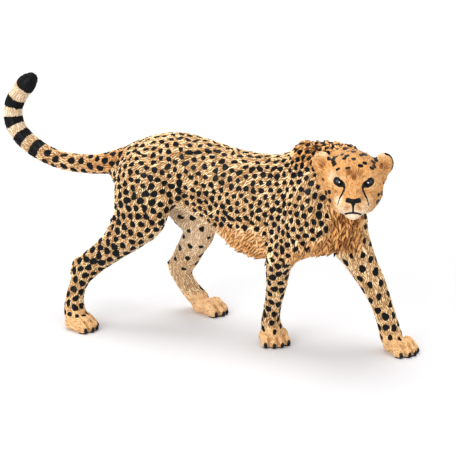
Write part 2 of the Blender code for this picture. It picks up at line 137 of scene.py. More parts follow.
LEGS = {
    "front_left": [
        (23.0, 3.6, 38.5, 2.8, 4.4),
        (25.4, 4.5, 32.0, 3.3, 4.8),
        (26.2, 4.9, 26.0, 3.3, 4.6),
        (27.5, 5.3, 22.3, 3.0, 4.3),
        (29.3, 5.6, 19.1, 2.8, 3.6),
        (31.5, 5.9, 15.3, 2.55, 3.1),
        (33.6, 6.2, 10.7, 2.3, 2.55),
        (35.0, 6.4, 6.6, 2.3, 2.5),
        (36.0, 6.5, 3.2, 2.6, 2.5),
    ],
    "front_right": [
        (18.6, -3.0, 42.0, 2.2, 3.6),
        (20.4, -4.4, 35.0, 3.3, 5.4),
        (19.2, -4.9, 28.5, 3.5, 5.0),
        (15.6, -4.5, 23.7, 3.1, 3.5),
        (13.6, -3.7, 18.9, 2.7, 2.9),
        (13.0, -3.0, 15.2, 2.4, 2.5),
        (12.1, -2.3, 11.5, 2.1, 2.15),
        (11.3, -1.7, 8.4, 2.1, 2.1),
        (10.8, -1.1, 5.5, 2.3, 2.25),
        (11.0, -0.6, 3.0, 2.7, 2.5),
    ],
    "hind_left": [
        (-18.0, 3.0, 37.0, 3.0, 5.4),
        (-15.0, 4.8, 32.0, 3.7, 6.3),
        (-11.9, 5.6, 26.4, 3.5, 5.6),
        (-10.2, 6.6, 21.3, 3.0, 4.1),
        (-12.3, 7.7, 17.2, 2.7, 3.4),
        (-14.6, 8.9, 13.5, 2.45, 3.3),
        (-16.4, 9.9, 10.3, 2.25, 2.9),
        (-16.0, 10.7, 7.5, 2.1, 2.5),
        (-14.6, 11.4, 5.0, 2.2, 2.3),
        (-13.0, 12.0, 3.0, 2.5, 2.2),
    ],
    "hind_right": [
        (-18.4, -3.0, 37.0, 3.0, 5.8),
        (-18.1, -5.0, 32.0, 3.8, 7.1),
        (-18.7, -5.6, 27.0, 3.6, 6.4),
        (-21.1, -6.0, 23.2, 3.1, 4.8),
        (-24.1, -6.3, 20.0, 2.8, 3.75),
        (-27.5, -6.7, 17.0, 2.45, 3.2),
        (-30.7, -7.2, 14.2, 2.15, 3.1),
        (-32.3, -7.7, 11.8, 2.1, 2.7),
        (-33.0, -8.3, 9.5, 2.0, 2.15),
        (-33.5, -8.9, 7.2, 2.15, 2.2),
        (-33.4, -9.4, 4.6, 2.5, 2.4),
        (-32.9, -9.8, 3.0, 2.7, 2.5),
    ],
}
MUSCLES = [  # centre, and radii along X, Y and Z
    ((-17.9, -4.6, 33.0), (7.4, 3.9, 8.4)),  # right haunch
    ((-15.7, 4.4, 33.0), (7.2, 3.9, 8.2)),  # left haunch
    ((19.4, -2.5, 42.7), (3.6, 2.5, 5.7)),  # right shoulder blade
    ((22.0, 3.2, 41.0), (3.4, 1.9, 5.0)),  # left shoulder blade
    ((22.8, -5.2, 31.0), (3.6, 2.6, 4.8)),  # point of the right shoulder
    ((27.1, 4.6, 29.5), (2.6, 2.8, 4.6)),  # point of the left shoulder
    ((13.0, -4.9, 24.0), (1.7, 1.5, 1.9)),  # right elbow
    ((24.3, 5.5, 22.6), (1.7, 1.5, 1.9)),  # left elbow
    ((-14.4, -6.0, 27.2), (2.7, 2.3, 2.9)),  # right knee
    ((-8.6, 6.5, 21.8), (2.5, 2.3, 2.8)),  # left knee
    ((-33.5, -7.4, 14.5), (1.4, 1.3, 1.6)),  # right heel bone
    ((-18.4, 9.7, 11.2), (1.5, 1.3, 1.7)),  # left heel bone
    ((8.0, 0.0, 25.2), (9.5, 4.6, 5.8)),  # breastbone and its fringe of fur
    ((24.2, 0.0, 29.6), (4.5, 5.0, 6.0)),  # chest
    ((27.0, -0.6, 43.3), (5.0, 2.6, 4.3)),  # mane
]
PAWS = {  # middle of the sole, heading in degrees, length and width
    "front_left": ((38.4, 6.3), -24, 7.8, 6.6),
    "front_right": ((11.2, -0.3), -48, 7.2, 6.9),
    "hind_left": ((-9.5, 11.4), -4, 8.6, 6.1),
    "hind_right": ((-31.1, -10.1), -4, 7.6, 6.2),
}
TOES = 4
HEAD_AT, HEAD_TURN, HEAD_TILT = (32.0, -7.36, 41.4), -69.0, 3.0
EAR_ASIDE = {1: 6.15, -1: 6.75}  # how far from the middle each ear is; the right one stands out a bit more
EYE_AT, EYE_R = (3.25, 2.95, 0.95), 1.3


def turned(degrees, axis):
    return Matrix.Rotation(math.radians(degrees), 4, axis)


HEAD = Matrix.Translation(HEAD_AT) @ turned(HEAD_TURN, "Z") @ turned(-HEAD_TILT, "Y")
eye_low, eye_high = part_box("eye_left")
HOME = Matrix.Translation((eye_low + eye_high) / 2 - (HEAD @ Vector(EYE_AT)) * MM) @ Matrix.Scale(MM, 4)
print("the plan's origin goes to", [round(x * 1000, 3) for x in HOME.translation], "mm")

# %% [markdown]
# ## Clay
#
# Limbs are rings bridged into tubes, muscles are icospheres, and one voxel remesh turns the heap into one
# skin. Metaballs would swell where limbs meet. A remesh keeps every size that went in, and a few rounds
# of smoothing are the thumb that softens the joins.

# %% Tools for clay


def ball(bm, at, radii, frame=Matrix(), detail=3):
    """An ellipsoid of clay."""
    shape = Matrix.Translation(at) @ Matrix.Diagonal((*radii, 1.0))
    bmesh.ops.create_icosphere(bm, subdivisions=detail, radius=1.0, matrix=frame @ shape)


def between(stations, steps):
    """The stations of a limb with smooth ones between them (a Catmull-Rom spline)."""
    rows = [np.array(s, float) for s in stations]
    rows = [2 * rows[0] - rows[1], *rows, 2 * rows[-1] - rows[-2]]
    out = []
    for a, b, c, d in zip(rows, rows[1:], rows[2:], rows[3:]):
        for i in range(steps):
            t = i / steps
            bend, twist = 2 * a - 5 * b + 4 * c - d, 3 * b - a - 3 * c + d
            out.append(0.5 * (2 * b + (c - a) * t + bend * t * t + twist * t**3))
    return np.array([*out, rows[-2]])


def limb(bm, stations, frame=Matrix(), sides=24, steps=4):
    """A tube through the stations (x, y, z, half width, half depth), with rounded ends."""
    rows, across = between(stations, steps), Vector((0, 1, 0))
    rings = []
    for i, row in enumerate(rows):
        along = Vector(rows[min(i + 1, len(rows) - 1)][:3] - rows[max(i - 1, 0)][:3]).normalized()
        side = (across - along * along.dot(across)).normalized()
        turn = Matrix((side, along.cross(side), along)).transposed().to_4x4()
        place = frame @ Matrix.Translation(row[:3]) @ turn @ Matrix.Diagonal((row[3], row[4], 1, 1))
        rings.append(bmesh.ops.create_circle(bm, segments=sides, radius=1.0, matrix=place)["verts"])
    for lower, upper in zip(rings, rings[1:]):
        ends = set(lower), set(upper)
        edges = {e for v in (*lower, *upper) for e in v.link_edges}
        bmesh.ops.bridge_loops(bm, edges=[e for e in edges if any(set(e.verts) <= end for end in ends)])
    bmesh.ops.holes_fill(bm, edges=[e for e in bm.edges if e.is_boundary], sides=0)
    for row in (rows[0], rows[-1]):
        ball(bm, row[:3], (row[3], row[3], row[4]), frame, detail=2)


def as_object(name, mesh):
    made = bpy.data.objects.new(name, mesh)
    bpy.context.collection.objects.link(made)
    return made


def as_mesh(name, bm):
    """The mesh that bm holds; bm goes."""
    mesh = bpy.data.meshes.new(name)
    bm.to_mesh(mesh)
    bm.free()
    return mesh


def baked(thing):
    """The mesh of an object once its modifiers have run; the object goes."""
    mesh = bpy.data.meshes.new_from_object(thing.evaluated_get(bpy.context.evaluated_depsgraph_get()))
    bpy.data.objects.remove(thing)
    return mesh


def fired(name, bm, voxel, rounds, keep=()):
    """One skin round all the clay in bm and in the meshes of keep, smoothed by so many rounds."""
    for mesh in keep:
        bm.from_mesh(mesh)
    bmesh.ops.recalc_face_normals(bm, faces=bm.faces)
    lump = as_object(name, as_mesh(name, bm))
    remesh = lump.modifiers.new("one skin", "REMESH")
    remesh.mode, remesh.voxel_size = "VOXEL", voxel
    smooth = lump.modifiers.new("thumb", "SMOOTH")
    smooth.factor, smooth.iterations = 0.5, rounds
    return baked(lump)


def numbers(mesh, collection="vertices", field="co", width=3, kind=float):
    """A field of a mesh as an array."""
    rows = getattr(mesh, collection)
    out = np.empty(len(rows) * width, kind)
    rows.foreach_get(field, out)
    return out.reshape(-1, width)


def distance(points, place):
    return np.linalg.norm(points - np.array(place), axis=1)


def unit(vectors):
    return vectors / np.maximum(np.linalg.norm(vectors, axis=1, keepdims=True), 1e-9)


def in_head(points):
    """Points as the head's own frame has them: forward, left and up from its middle."""
    return (points - np.array(HEAD_AT)) @ np.array(HEAD.to_3x3())


# %% The trunk, the neck, the tail and the legs, fired as one and kneaded


def body_clay():
    bm = bmesh.new()
    limb(bm, SPINE, sides=32)
    for stations in (NECK, TAIL, *LEGS.values()):
        limb(bm, stations)
    for at, radii in MUSCLES:
        ball(bm, at, radii)
    return bm


BODY_VOXEL, HEAD_VOXEL, SKIN_VOXEL = 0.55, 0.3, 0.2
body = fired("body", body_clay(), BODY_VOXEL, 6)
knead = bmesh.new()  # the trunk is smoothed again, between the thighs and the chest
knead.from_mesh(body)
soft = [v for v in knead.verts if v.co.z > 25 and -25 < v.co.x < 28]
for _ in range(16):
    bmesh.ops.smooth_vert(knead, verts=soft, factor=0.5, use_axis_x=True, use_axis_y=True, use_axis_z=True)
knead.to_mesh(body)
knead.free()
told("body of clay:", len(body.vertices), "points,")

# %% The head, in its own frame: forward, left and up from its middle


def head_clay():
    bm = bmesh.new()
    ball(bm, (-1.0, 0, 1.7), (5.5, 5.4, 4.9))  # brain case
    ball(bm, (0.7, 0, 2.6), (3.6, 4.7, 3.7))  # forehead
    limb(bm, [(2.2, 0, 2.2, 3.2, 1.9), (4.8, 0, 0.4, 2.3, 1.8), (7.5, 0, -1.85, 1.65, 1.2)])
    ball(bm, (4.8, 0, -3.1), (3.7, 3.1, 2.7))  # muzzle
    ball(bm, (8.1, 0, -1.95), (0.95, 1.6, 0.7))  # nose
    ball(bm, (6.3, 0, -5.2), (1.6, 1.7, 1.15))  # chin
    ball(bm, (3.2, 0, -4.9), (3.6, 2.6, 1.5))  # lower jaw
    ball(bm, (-1.8, 0, -2.6), (4.2, 4.2, 3.6))  # throat
    for side in SIDES:
        ball(bm, (0.5, 3.1 * side, -1.2), (3.9, 3.1, 4.2))  # cheek
        ball(bm, (3.4, 2.4 * side, -1.6), (2.5, 2.1, 2.7))  # under the eye
        ball(bm, (2.0, 2.5 * side, -3.6), (3.5, 2.3, 2.3))  # jaw muscle
        ball(bm, (2.3, 2.9 * side, 2.7), (1.8, 2.0, 1.4))  # brow
        ball(bm, (6.7, 1.4 * side, -3.45), (1.9, 1.75, 1.6))  # whisker pad
        ball(bm, (-1.6, 4.9 * side, 1.9), (2.6, 2.1, 3.3))  # root of the ear
    return bm


def ear_frame(side):
    """An ear's own frame in the head's: it faces forward and outward."""
    place = Matrix.Translation((-1.7, EAR_ASIDE[side] * side, 3.7))
    return place @ turned(28 * side, "Z") @ turned(-12, "Y")


def ear_clay(bm, side):
    """A rounded flap."""
    ball(bm, (0, 0, 0), (0.95, 2.3, 2.45), HEAD @ ear_frame(side))


def paw_frame(at, heading):
    return Matrix.Translation((*at, 0)) @ turned(heading, "Z")


def toes(length, width):
    """How far forward and to the side each toe's tip is."""
    for i in range(TOES):
        off = (i - (TOES - 1) / 2) / ((TOES - 1) / 2)
        yield (0.31 - 0.13 * off * off) * length, 0.35 * width * off


def paw_clay(bm, at, heading, length, width):
    """A pad with a wrist above it and four toes, each a knuckle and a tip."""
    place = paw_frame(at, heading)
    ball(bm, (-0.26 * length, 0, 1.5), (0.29 * length, 0.42 * width, 1.9), place)
    ball(bm, (0.0, 0, 1.4), (0.34 * length, 0.43 * width, 2.1), place)
    for tip, spread in toes(length, width):
        ball(bm, (tip - 1.4, 0.92 * spread, 2.0), (1.7, 0.95, 1.45), place)
        ball(bm, (tip, spread, 1.0), (1.4, 0.9, 1.4), place)


head = fired("head", head_clay(), HEAD_VOXEL, 10)
head.transform(HEAD)
details = bmesh.new()
for side in SIDES:
    ear_clay(details, side)
for paw in PAWS.values():
    paw_clay(details, *paw)
clay = fired("figure", details, SKIN_VOXEL, 9, keep=(body, head))
told("whole figure:", len(clay.vertices), "points,")

# %% [markdown]
# ## Carving
#
# Lids, nostrils, lips and the clefts between the toes are too fine for balls of clay, so they are carved:
# a stroke is a line of points on the skin, how far the tool reaches from it, and how much it lifts or
# sinks the clay. The skin then moves in by the depth of the coat, so that the tips of the fur end where
# the solids end.

# %% The tool for carving, and the thinning of the skin


def near_line(points, line):
    """How far points are from a line, and how far along it, from 0 to 1, the nearest place is."""
    near, place = np.full(len(points), np.inf), np.zeros(len(points))
    runs = max(len(line) - 1, 1)
    for k, (a, b) in enumerate(zip(line, line[1:] if len(line) > 1 else line)):
        run = b - a
        t = np.clip(((points - a) @ run) / max(run @ run, 1e-9), 0, 1)
        far = np.linalg.norm(points - a - t[:, None] * run, axis=1)
        closer = far < near
        near[closer], place[closer] = far[closer], ((k + t) / runs)[closer]
    return near, place


def carve(mesh, strokes, frame=Matrix()):
    """Moves clay in or out. A stroke is a line of points, its reach, and how far it lifts the skin."""
    co, normals = numbers(mesh), numbers(mesh, "vertex_normals", "vector")
    for points, reach, lift in strokes:
        line = np.array([frame @ Vector(p) for p in points])
        low, high = line.min(0) - reach, line.max(0) + reach
        met = np.flatnonzero(((co > low) & (co < high)).all(1))
        near, _ = near_line(co[met], line)
        co[met] += normals[met] * (np.clip(1 - (near / reach) ** 2, 0, None) ** 2 * lift)[:, None]
    mesh.vertices.foreach_set("co", co.ravel())
    mesh.update()


def thinned(mesh, keep, faces):
    """Thins a mesh to so many triangles, and spares the points of keep."""
    thing = as_object("thinned", mesh)
    group = thing.vertex_groups.new(name="spared")
    group.add(np.flatnonzero(keep).tolist(), 1.0, "REPLACE")
    thin = thing.modifiers.new("thin", "DECIMATE")
    thin.ratio = faces / sum(len(f.vertices) - 2 for f in mesh.polygons)
    thin.vertex_group, thin.invert_vertex_group, thin.vertex_group_factor = "spared", True, 1.0
    thing.modifiers.new("triangles", "TRIANGULATE")
    return baked(thing)


# %% Carving the face


def ring(at, wide, high, start, end, count=9):
    """Points on an arc round the eye, in the head's frame; angles in degrees from outward, over the top."""
    x, y, z = at
    for i in range(count):
        a = math.radians(start + (end - start) * i / (count - 1))
        bow = 0.55 * math.cos(a) ** 2 * math.copysign(1, math.cos(a))  # the outer corner lies further back
        yield (x - bow, y + wide * math.cos(a) * math.copysign(1, y), z + high * math.sin(a))


def face_strokes():
    strokes = []
    x, y, z = EYE_AT
    for side in SIDES:
        at = (x + 0.85, y * side, z)
        strokes += [
            ([(x + 1.0, y * side, z)], 1.8, -0.12),  # socket
            ([(5.2, 2.3 * side, -0.8), (6.8, 2.2 * side, -2.0)], 1.2, -0.12),  # hollow beside the nose
            ([(8.5, 0.1 * side, -4.4), (7.4, 1.9 * side, -5.1), (5.6, 2.9 * side, -5.0)], 0.6, -0.3),  # lips
            (list(ring(at, 1.35, 0.8, 10, 170)), 0.6, 0.5),  # upper lid
            (list(ring(at, 1.32, 0.78, 200, 340)), 0.5, 0.42),  # lower lid
            ([(x + 1.4, (y - 1.6) * side, z - 0.3)], 0.6, -0.22),  # inner corner
            ([(8.9, 0.75 * side, -2.1), (8.6, 1.25 * side, -1.9)], 0.45, -0.32),  # nostril
            ([(8.8, 0.35 * side, -2.7), (8.3, 1.4 * side, -2.6)], 0.35, -0.12),  # under the nose
        ]
    strokes.append(([(8.9, 0, -2.6), (8.7, 0, -4.2)], 0.45, -0.25))  # split of the upper lip
    return strokes


carve(clay, face_strokes(), HEAD)
carve(clay, [([(-0.1, (EAR_ASIDE[side] + 0.2) * side, 4.0)], 2.0, -0.7) for side in SIDES], HEAD)  # ear cups

# %% Carving the toes


def toe_strokes(length, width):
    tips = list(toes(length, width))
    for (tip, spread), (next_tip, next_spread) in zip(tips, tips[1:]):
        forward, aside = (tip + next_tip) / 2, (spread + next_spread) / 2
        cleft = [(forward - 2.4, 0.9 * aside, 3.1), (forward, aside, 2.2), (forward + 1.2, aside, 0.4)]
        yield cleft, 0.55, -0.5


CLAW_SPREAD = 1.1  # how much further aside a claw is than the middle of its toe


def claw_dents(length, width):
    for tip, spread in toes(length, width):
        yield [(tip + 1.1, CLAW_SPREAD * spread, 1.1), (tip + 1.3, CLAW_SPREAD * spread, 0.4)], 0.6, -0.3


for at, heading, length, width in PAWS.values():
    carve(clay, [*toe_strokes(length, width), *claw_dents(length, width)], paw_frame(at, heading))

# %% Cutting the soles flat and thinning what the fur will cover

SKIN_FACES = 150_000
sole = bmesh.new()
sole.from_mesh(clay)
whole = [*sole.verts, *sole.edges, *sole.faces]
bmesh.ops.bisect_plane(sole, geom=whole, plane_co=(0, 0, 0), plane_no=(0, 0, 1), clear_inner=True)
bmesh.ops.holes_fill(sole, edges=[e for e in sole.edges if e.is_boundary], sides=0)
sole.to_mesh(clay)
sole.free()
co = numbers(clay)
co += numbers(clay, "vertex_normals", "vector") * np.random.default_rng(5).uniform(-0.01, 0.01, (len(co), 1))
clay.vertices.foreach_set("co", co.ravel())  # a trace of grain: flat flanks keep their share of triangles
on_head = (distance(co, HEAD_AT) < 9.0) & (in_head(co)[:, 0] > -1.5)
clay = thinned(clay, on_head | (co[:, 2] < 4.0), SKIN_FACES)

# %% Finer clay where the face will be painted

fine = bmesh.new()
fine.from_mesh(clay)
to_head = HEAD.inverted()
painted = set()
for vert in fine.verts:
    forward, aside, up = to_head @ vert.co
    if math.hypot(forward, aside, up) < 9.5 and forward > 2.4 and up < 3.0:
        painted.add(vert)
inside = [e for e in fine.edges if set(e.verts) <= painted]
bmesh.ops.subdivide_edges(fine, edges=inside, cuts=1, smooth=0.0)
bmesh.ops.triangulate(fine, faces=fine.faces)
fine.to_mesh(clay)
fine.free()
told("skin:", len(clay.polygons), "triangles,")

# %% [markdown]
# ## Which way the fur lies
#
# Every engraved stroke follows the lie of the coat: back along the trunk and down its sides, down the
# legs, out along the tail, and away from the nose over the head. Each point of the skin takes the
# direction of its limb, and then shares it with its neighbours, round after round, until the parts flow
# into each other.

# %% Each point's limb, how far along it lies, and its angle round it

co, triangles = numbers(clay), numbers(clay, "polygons", "vertices", 3, np.int32)
normals = numbers(clay, "vertex_normals", "vector")
LIMBS = {
    "trunk": SPINE[::-1],
    "neck": NECK[::-1],
    "tail": TAIL,
    **{f"leg_{name}": stations for name, stations in LEGS.items()},
}
REGIONS = [*LIMBS, "head"]


def along_limb(points, stations, step=0.6):
    """For points near a limb: how far out (1 is its surface), how far along, angle round, direction."""
    rows = between(stations, 12)
    spine = rows[:, :3]
    ahead = unit(np.gradient(spine, axis=0))
    length = np.r_[0, np.cumsum(np.linalg.norm(np.diff(spine, axis=0), axis=1))]
    nearest = ((points[:, None, :] - spine[None]) ** 2).sum(2).argmin(1)
    at, way = rows[nearest], ahead[nearest]
    off = points - at[:, :3]
    side = unit(np.array([0.0, 1.0, 0.0]) - way * way[:, 1:2])
    up = np.cross(way, side)
    a, b, rest = (off * side).sum(1), (off * up).sum(1), (off * way).sum(1)
    outside = np.sqrt((a / at[:, 3]) ** 2 + (b / at[:, 4]) ** 2 + (rest / 3.0) ** 2)
    return outside, length[nearest] + rest, np.arctan2(b, a), way


head_co = in_head(co)
found = {name: along_limb(co, stations) for name, stations in LIMBS.items()}
outside = np.array([found[name][0] for name in LIMBS] + [np.linalg.norm(head_co, axis=1) / 7.6])
outside[REGIONS.index("neck")] += 0.15
region = outside.argmin(0)
region[(np.linalg.norm(head_co, axis=1) < 9.5) & (head_co[:, 0] > -2.5)] = REGIONS.index("head")
station, angle, flow = np.zeros(len(co)), np.zeros(len(co)), np.zeros((len(co), 3))
for i, name in enumerate(LIMBS):
    here = region == i
    station[here], angle[here], flow[here] = (found[name][k][here] for k in (1, 2, 3))
here = region == REGIONS.index("head")
station[here], angle[here] = 9 - head_co[here, 0], np.arctan2(head_co[here, 2], head_co[here, 1])
print({name: int((region == i).sum()) for i, name in enumerate(REGIONS)})

# %% The direction on each limb, shared between neighbours

edges = numbers(clay, "edges", "vertices", 2, np.int32)


def shared(values, rounds):
    """Values of the points, averaged with their neighbours' so many times."""
    count = np.bincount(edges.ravel(), minlength=len(co))[:, None] + 1
    for _ in range(rounds):
        total = values.copy()
        for k in range(values.shape[1]):
            total[:, k] += np.bincount(edges[:, 0], values[edges[:, 1], k], len(co))
            total[:, k] += np.bincount(edges[:, 1], values[edges[:, 0], k], len(co))
        values = total / count
    return values


def smooth_step(values, low, high):
    t = np.clip((values - low) / (high - low), 0, 1)
    return t * t * (3 - 2 * t)


x, y, z = co.T
on = {name: region == i for i, name in enumerate(REGIONS)}
flank = smooth_step(-normals[:, 2], -0.9, -0.2)
flow[on["trunk"]] = np.c_[-np.ones(len(co)), np.zeros(len(co)), -1.05 * flank][on["trunk"]]
flow[on["neck"]] = (-0.8, 0.1, -0.6)
upper_legs = (z > 21) & ~on["tail"] & ~on["head"] & ~on["neck"] & ~on["trunk"]
flow[upper_legs & (x < 0)] = (-0.62, 0, -0.78)
flow[upper_legs & (x > 0)] = (-0.25, 0, -0.97)
chest = (x > 22) & (z < 38) & (normals[:, 0] > 0.3) & ~on["head"]
flow[chest] = (-0.1, 0, -1)
away = head_co - np.array([8.5, 0, -2.0])
flow[on["head"]] = unit(away)[on["head"]] @ np.array(HEAD.to_3x3()).T
for name, (_, heading, _, _) in PAWS.items():
    heading = math.radians(heading)
    flow[on[f"leg_{name}"] & (z < 4.5)] = (math.cos(heading), math.sin(heading), -0.35)
flow = unit(shared(flow, 60))
flow = unit(flow - normals * (flow * normals).sum(1)[:, None])
told("flow done,")

# %% The coat's depth: the skin moves in so that the tips of the fur end where the solids end

RUFFS = [  # where longer fur breaks the outline: a place, and how far round it
    ((12.0, -5.0, 22.5), 3.4),  # right elbow
    ((22.8, 5.5, 22.0), 3.2),  # left elbow
    ((-26.0, -6.0, 27.0), 4.5),  # back of the right thigh
    ((-22.0, 5.5, 26.0), 4.5),  # back of the left thigh
    ((-33.6, -7.4, 13.5), 2.4),  # right hock
    ((-18.6, 9.8, 10.5), 2.4),  # left hock
    ((26.0, -8.4, 37.0), 3.6),  # throat, under the right cheek
]

mane = smooth_step(z, 40.5, 43.5) * smooth_step(x, 14.0, 17.5) * ~on["head"]
belly = smooth_step(-normals[:, 2], -0.1, 0.5) * smooth_step(x, -4.0, 2.0)
belly = belly * (z > 17.5) * (z < 28) * (x < 24)
breast = smooth_step(x, 22.0, 24.5) * smooth_step(-z, -39.0, -36.0)
breast = breast * smooth_step(-np.abs(y + 1.2), -5.2, -4.0) * (z > 22) * ~on["head"]
fringe = np.maximum(belly * (on["trunk"] | (z > 21)), breast)
mane, fringe, breast = shared(np.c_[mane, fringe, breast], 14).T
ruff = np.zeros(len(co))
for at, reach in RUFFS:
    ruff = np.maximum(ruff, 1 - smooth_step(distance(co, at), 0.4 * reach, reach))
depth = 0.2 + 0.18 * np.maximum(mane, fringe)
depth[on["head"]] = 0.07
depth[z < 4.5] = 0.06
depth = shared(depth[:, None], 30)[:, 0] * smooth_step(z, 0.0, 0.3)
co -= normals * depth[:, None]
clay.vertices.foreach_set("co", co.ravel())
clay.update()
normals = numbers(clay, "vertex_normals", "vector")
x, y, z = co.T
head_co = in_head(co)
tree = BVHTree.FromPolygons(co.tolist(), triangles.tolist(), all_triangles=True)
print("coat", round(depth.min(), 2), "to", round(depth.max(), 2), "mm deep")

# %% [markdown]
# ## Places for spots and for strokes of fur
#
# Spots and strokes are spread the same way: points are thrown at the skin, and one that lands too near an
# earlier one is taken off again. Near is measured along the fur and across it with different rulers, so
# long strokes can lie closer side by side than end to end. The throws are seeded, so they are the same
# each time.

# %% Sprinkling points over the skin


def corners(values, face, weight):
    """Values of the skin's points, read at places inside its triangles."""
    return (values[triangles[face]] * (weight[..., None] if values.ndim > 1 else weight)).sum(1)


def lookup(places):
    """A tree that finds the places near a point."""
    ground = KDTree(len(places))
    for i, place in enumerate(places):
        ground.insert(place, i)
    ground.balance()
    return ground


def pressed(points):
    """The nearest places on the skin: point, triangle and corner weights."""
    hits = [tree.find_nearest(p) for p in points]
    place, face = np.array([h[0] for h in hits]), np.array([h[2] for h in hits])
    a, b, c = (co[triangles[face, k]] for k in range(3))
    n = np.cross(b - a, c - a)
    size = np.maximum((n * n).sum(1), 1e-12)
    wb = (np.cross(place - a, c - a) * n).sum(1) / size
    wc = (np.cross(b - a, place - a) * n).sum(1) / size
    return place, face, np.clip(np.c_[1 - wb - wc, wb, wc], 0, 1)


def sprinkle(seed, spacing, stretch, throws):
    """Places (triangle, corner weights) about a spacing apart, given at each point; 0 for none."""
    dice = np.random.default_rng(seed)
    a, b, c = (co[triangles[:, k]] for k in range(3))
    area = np.linalg.norm(np.cross(b - a, c - a), axis=1) / 2
    gap = spacing[triangles].min(1)
    share = np.where(gap > 0, area / np.maximum(gap, 0.05) ** 2 / stretch, 0)
    total = np.cumsum(share)
    face = np.searchsorted(total, dice.random(int(total[-1] * throws)) * total[-1])
    u, v = dice.random((2, len(face)))
    flip = u + v > 1
    u, v = np.where(flip, 1 - u, u), np.where(flip, 1 - v, v)
    weight = np.c_[1 - u - v, u, v]
    place, near = corners(co, face, weight), corners(spacing, face, weight)
    lie, ground = unit(corners(flow, face, weight)), lookup(place)
    kept = np.ones(len(place), bool)
    for i in range(len(place)):
        if kept[i]:
            reach = near[i]
            for spot, j, far in ground.find_range(place[i], reach * stretch):
                if j > i and kept[j]:
                    step = sum((spot[k] - place[i, k]) * lie[i, k] for k in range(3))
                    kept[j] = (step / stretch) ** 2 + far * far - step * step > reach * reach
    return face[kept], weight[kept]


# %% [markdown]
# ## The markings
#
# A cheetah's spots are round and solid, small along the spine and larger on the haunch, and they leave
# the belly, the chest and the chin free. Each marking is kept as a distance to the edge of the black
# paint, in millimetres and negative inside it. The skin and the fur both read it, so the paint runs
# across both.

# %% Spots over the body

SPOT_GAP, SPOT_STRETCH = 1.27, 1.2
right = co[:, 1] < 0
legs = ~on["trunk"] & ~on["neck"] & ~on["tail"] & ~on["head"]
inner = (normals[:, 1] * np.sign(np.where(y == 0, 1, y)) < -0.35) & legs
under = (normals[:, 2] < -0.45) & (z > 18) & ~on["head"]
nape = (np.abs(head_co[:, 1]) < 4.6) | (head_co[:, 2] < 0.5)
nape &= (head_co[:, 0] < 0.4) & (head_co[:, 2] < 4.0)
left_shins, right_shins = legs & (z < 24) & ~right, legs & (z < 21) & right
SPOT_GAPS = [  # where, and how far apart; a later row wins, and 0 keeps the spots out
    (upper_legs & (x < 0), 1.36),
    (on["neck"] | (mane > 0.5), 1.04),
    (left_shins & (x > 0), 1.5),
    (left_shins & (x <= 0), 1.7),
    (right_shins, 1.38),
    (right_shins & (z < 19) & (x < -18), 1.35),
    (inner & (z > 8), 2.2),
    (inner & (x < 0) & (z > 11), 2.6),
    (on["tail"], 0),
    (on["tail"] & (station < 23.4), 1.75),
    (under & ((x > -8) | on["trunk"]), 0),
    (((fringe > 0.55) & ~upper_legs) | (breast > 0.4), 0),
    ((z < 3.4) | (on["leg_hind_left"] & (z < 10.8) & (normals[:, 1] < 0.3)), 0),
    (on["head"], 0),
    (on["head"] & nape, 1.7),
]
spot_gap = np.full(len(co), SPOT_GAP)
for where, gap in SPOT_GAPS:
    spot_gap[where] = gap
spot_face, spot_weight = sprinkle(7, spot_gap, SPOT_STRETCH, throws=16)
told(len(spot_face), "spots thrown,")

# %% Pushing the spots apart, as a painter's eye spaces them


def spaced(face, weight, rounds=8):
    """Moves places over the skin, away from neighbours that are nearer than the others."""
    for _ in range(rounds):
        place, gap = corners(co, face, weight), corners(spot_gap, face, weight)
        lie = unit(corners(flow, face, weight))
        apart = place[:, None] - place[None]
        along = (apart * lie[:, None]).sum(2)
        far = np.sqrt((apart**2).sum(2) - along**2 * (1 - SPOT_STRETCH**-2)) + np.eye(len(place)) * 99
        push = np.clip(1 - far / (gap[:, None] * 1.35), 0, 1) / far
        step = (apart * push[..., None]).sum(1) * gap[:, None] * 0.45
        _, new_face, new_weight = pressed(place + step)
        allowed = corners(spot_gap, new_face, new_weight) > 0.8 * gap
        face, weight = np.where(allowed, new_face, face), np.where(allowed[:, None], new_weight, weight)
    return face, weight


spot_face, spot_weight = spaced(spot_face, spot_weight)
SPOT_AT = corners(co, spot_face, spot_weight)
SPOT_LIE = unit(corners(flow, spot_face, spot_weight))
SPOT_UP = unit(corners(normals, spot_face, spot_weight))
told("spots spaced,")

# %% How far a point lies from the edge of the nearest spot

dice = np.random.default_rng(11)
big = smooth_step(-SPOT_AT[:, 2], -38, -31) * smooth_step(SPOT_AT[:, 2], 19, 24) * (SPOT_AT[:, 0] < -8)
on_back = smooth_step(SPOT_UP[:, 2], 0.45, 0.9)
of_mane = corners(mane, spot_face, spot_weight)
on_back *= 1 - of_mane
in_thigh = corners(np.where(inner & (x < 0), 1.0, 0.0), spot_face, spot_weight)
small_ones = np.where(on["head"] | (z < 5), 1.0, 0.45 * (on["neck"] | (mane > 0.5)))
small_ones = corners(small_ones, spot_face, spot_weight)
bold = corners(np.where(on["tail"], 0.7, np.where(legs & (z < 21), 0.6, 0.0)), spot_face, spot_weight)
SPOT_R = 0.605 + 0.15 * big + 0.2 * bold - 0.18 * on_back - 0.15 * small_ones - 0.08 * in_thigh
SPOT_R *= dice.uniform(0.87, 1.13, len(SPOT_AT)) - 0.15 * in_thigh * dice.random(len(SPOT_AT))
SPOT_LONG = dice.uniform(0.98, 1.25, len(SPOT_AT)) + 0.75 * on_back + 0.1 * of_mane
SPOT_LONG[dice.random(len(SPOT_AT)) < 0.03] += 0.4
SPOT_TURN = dice.normal(0, 0.45, len(SPOT_AT))
SPOT_WAVE = dice.uniform(0, 2 * math.pi, (2, len(SPOT_AT)))


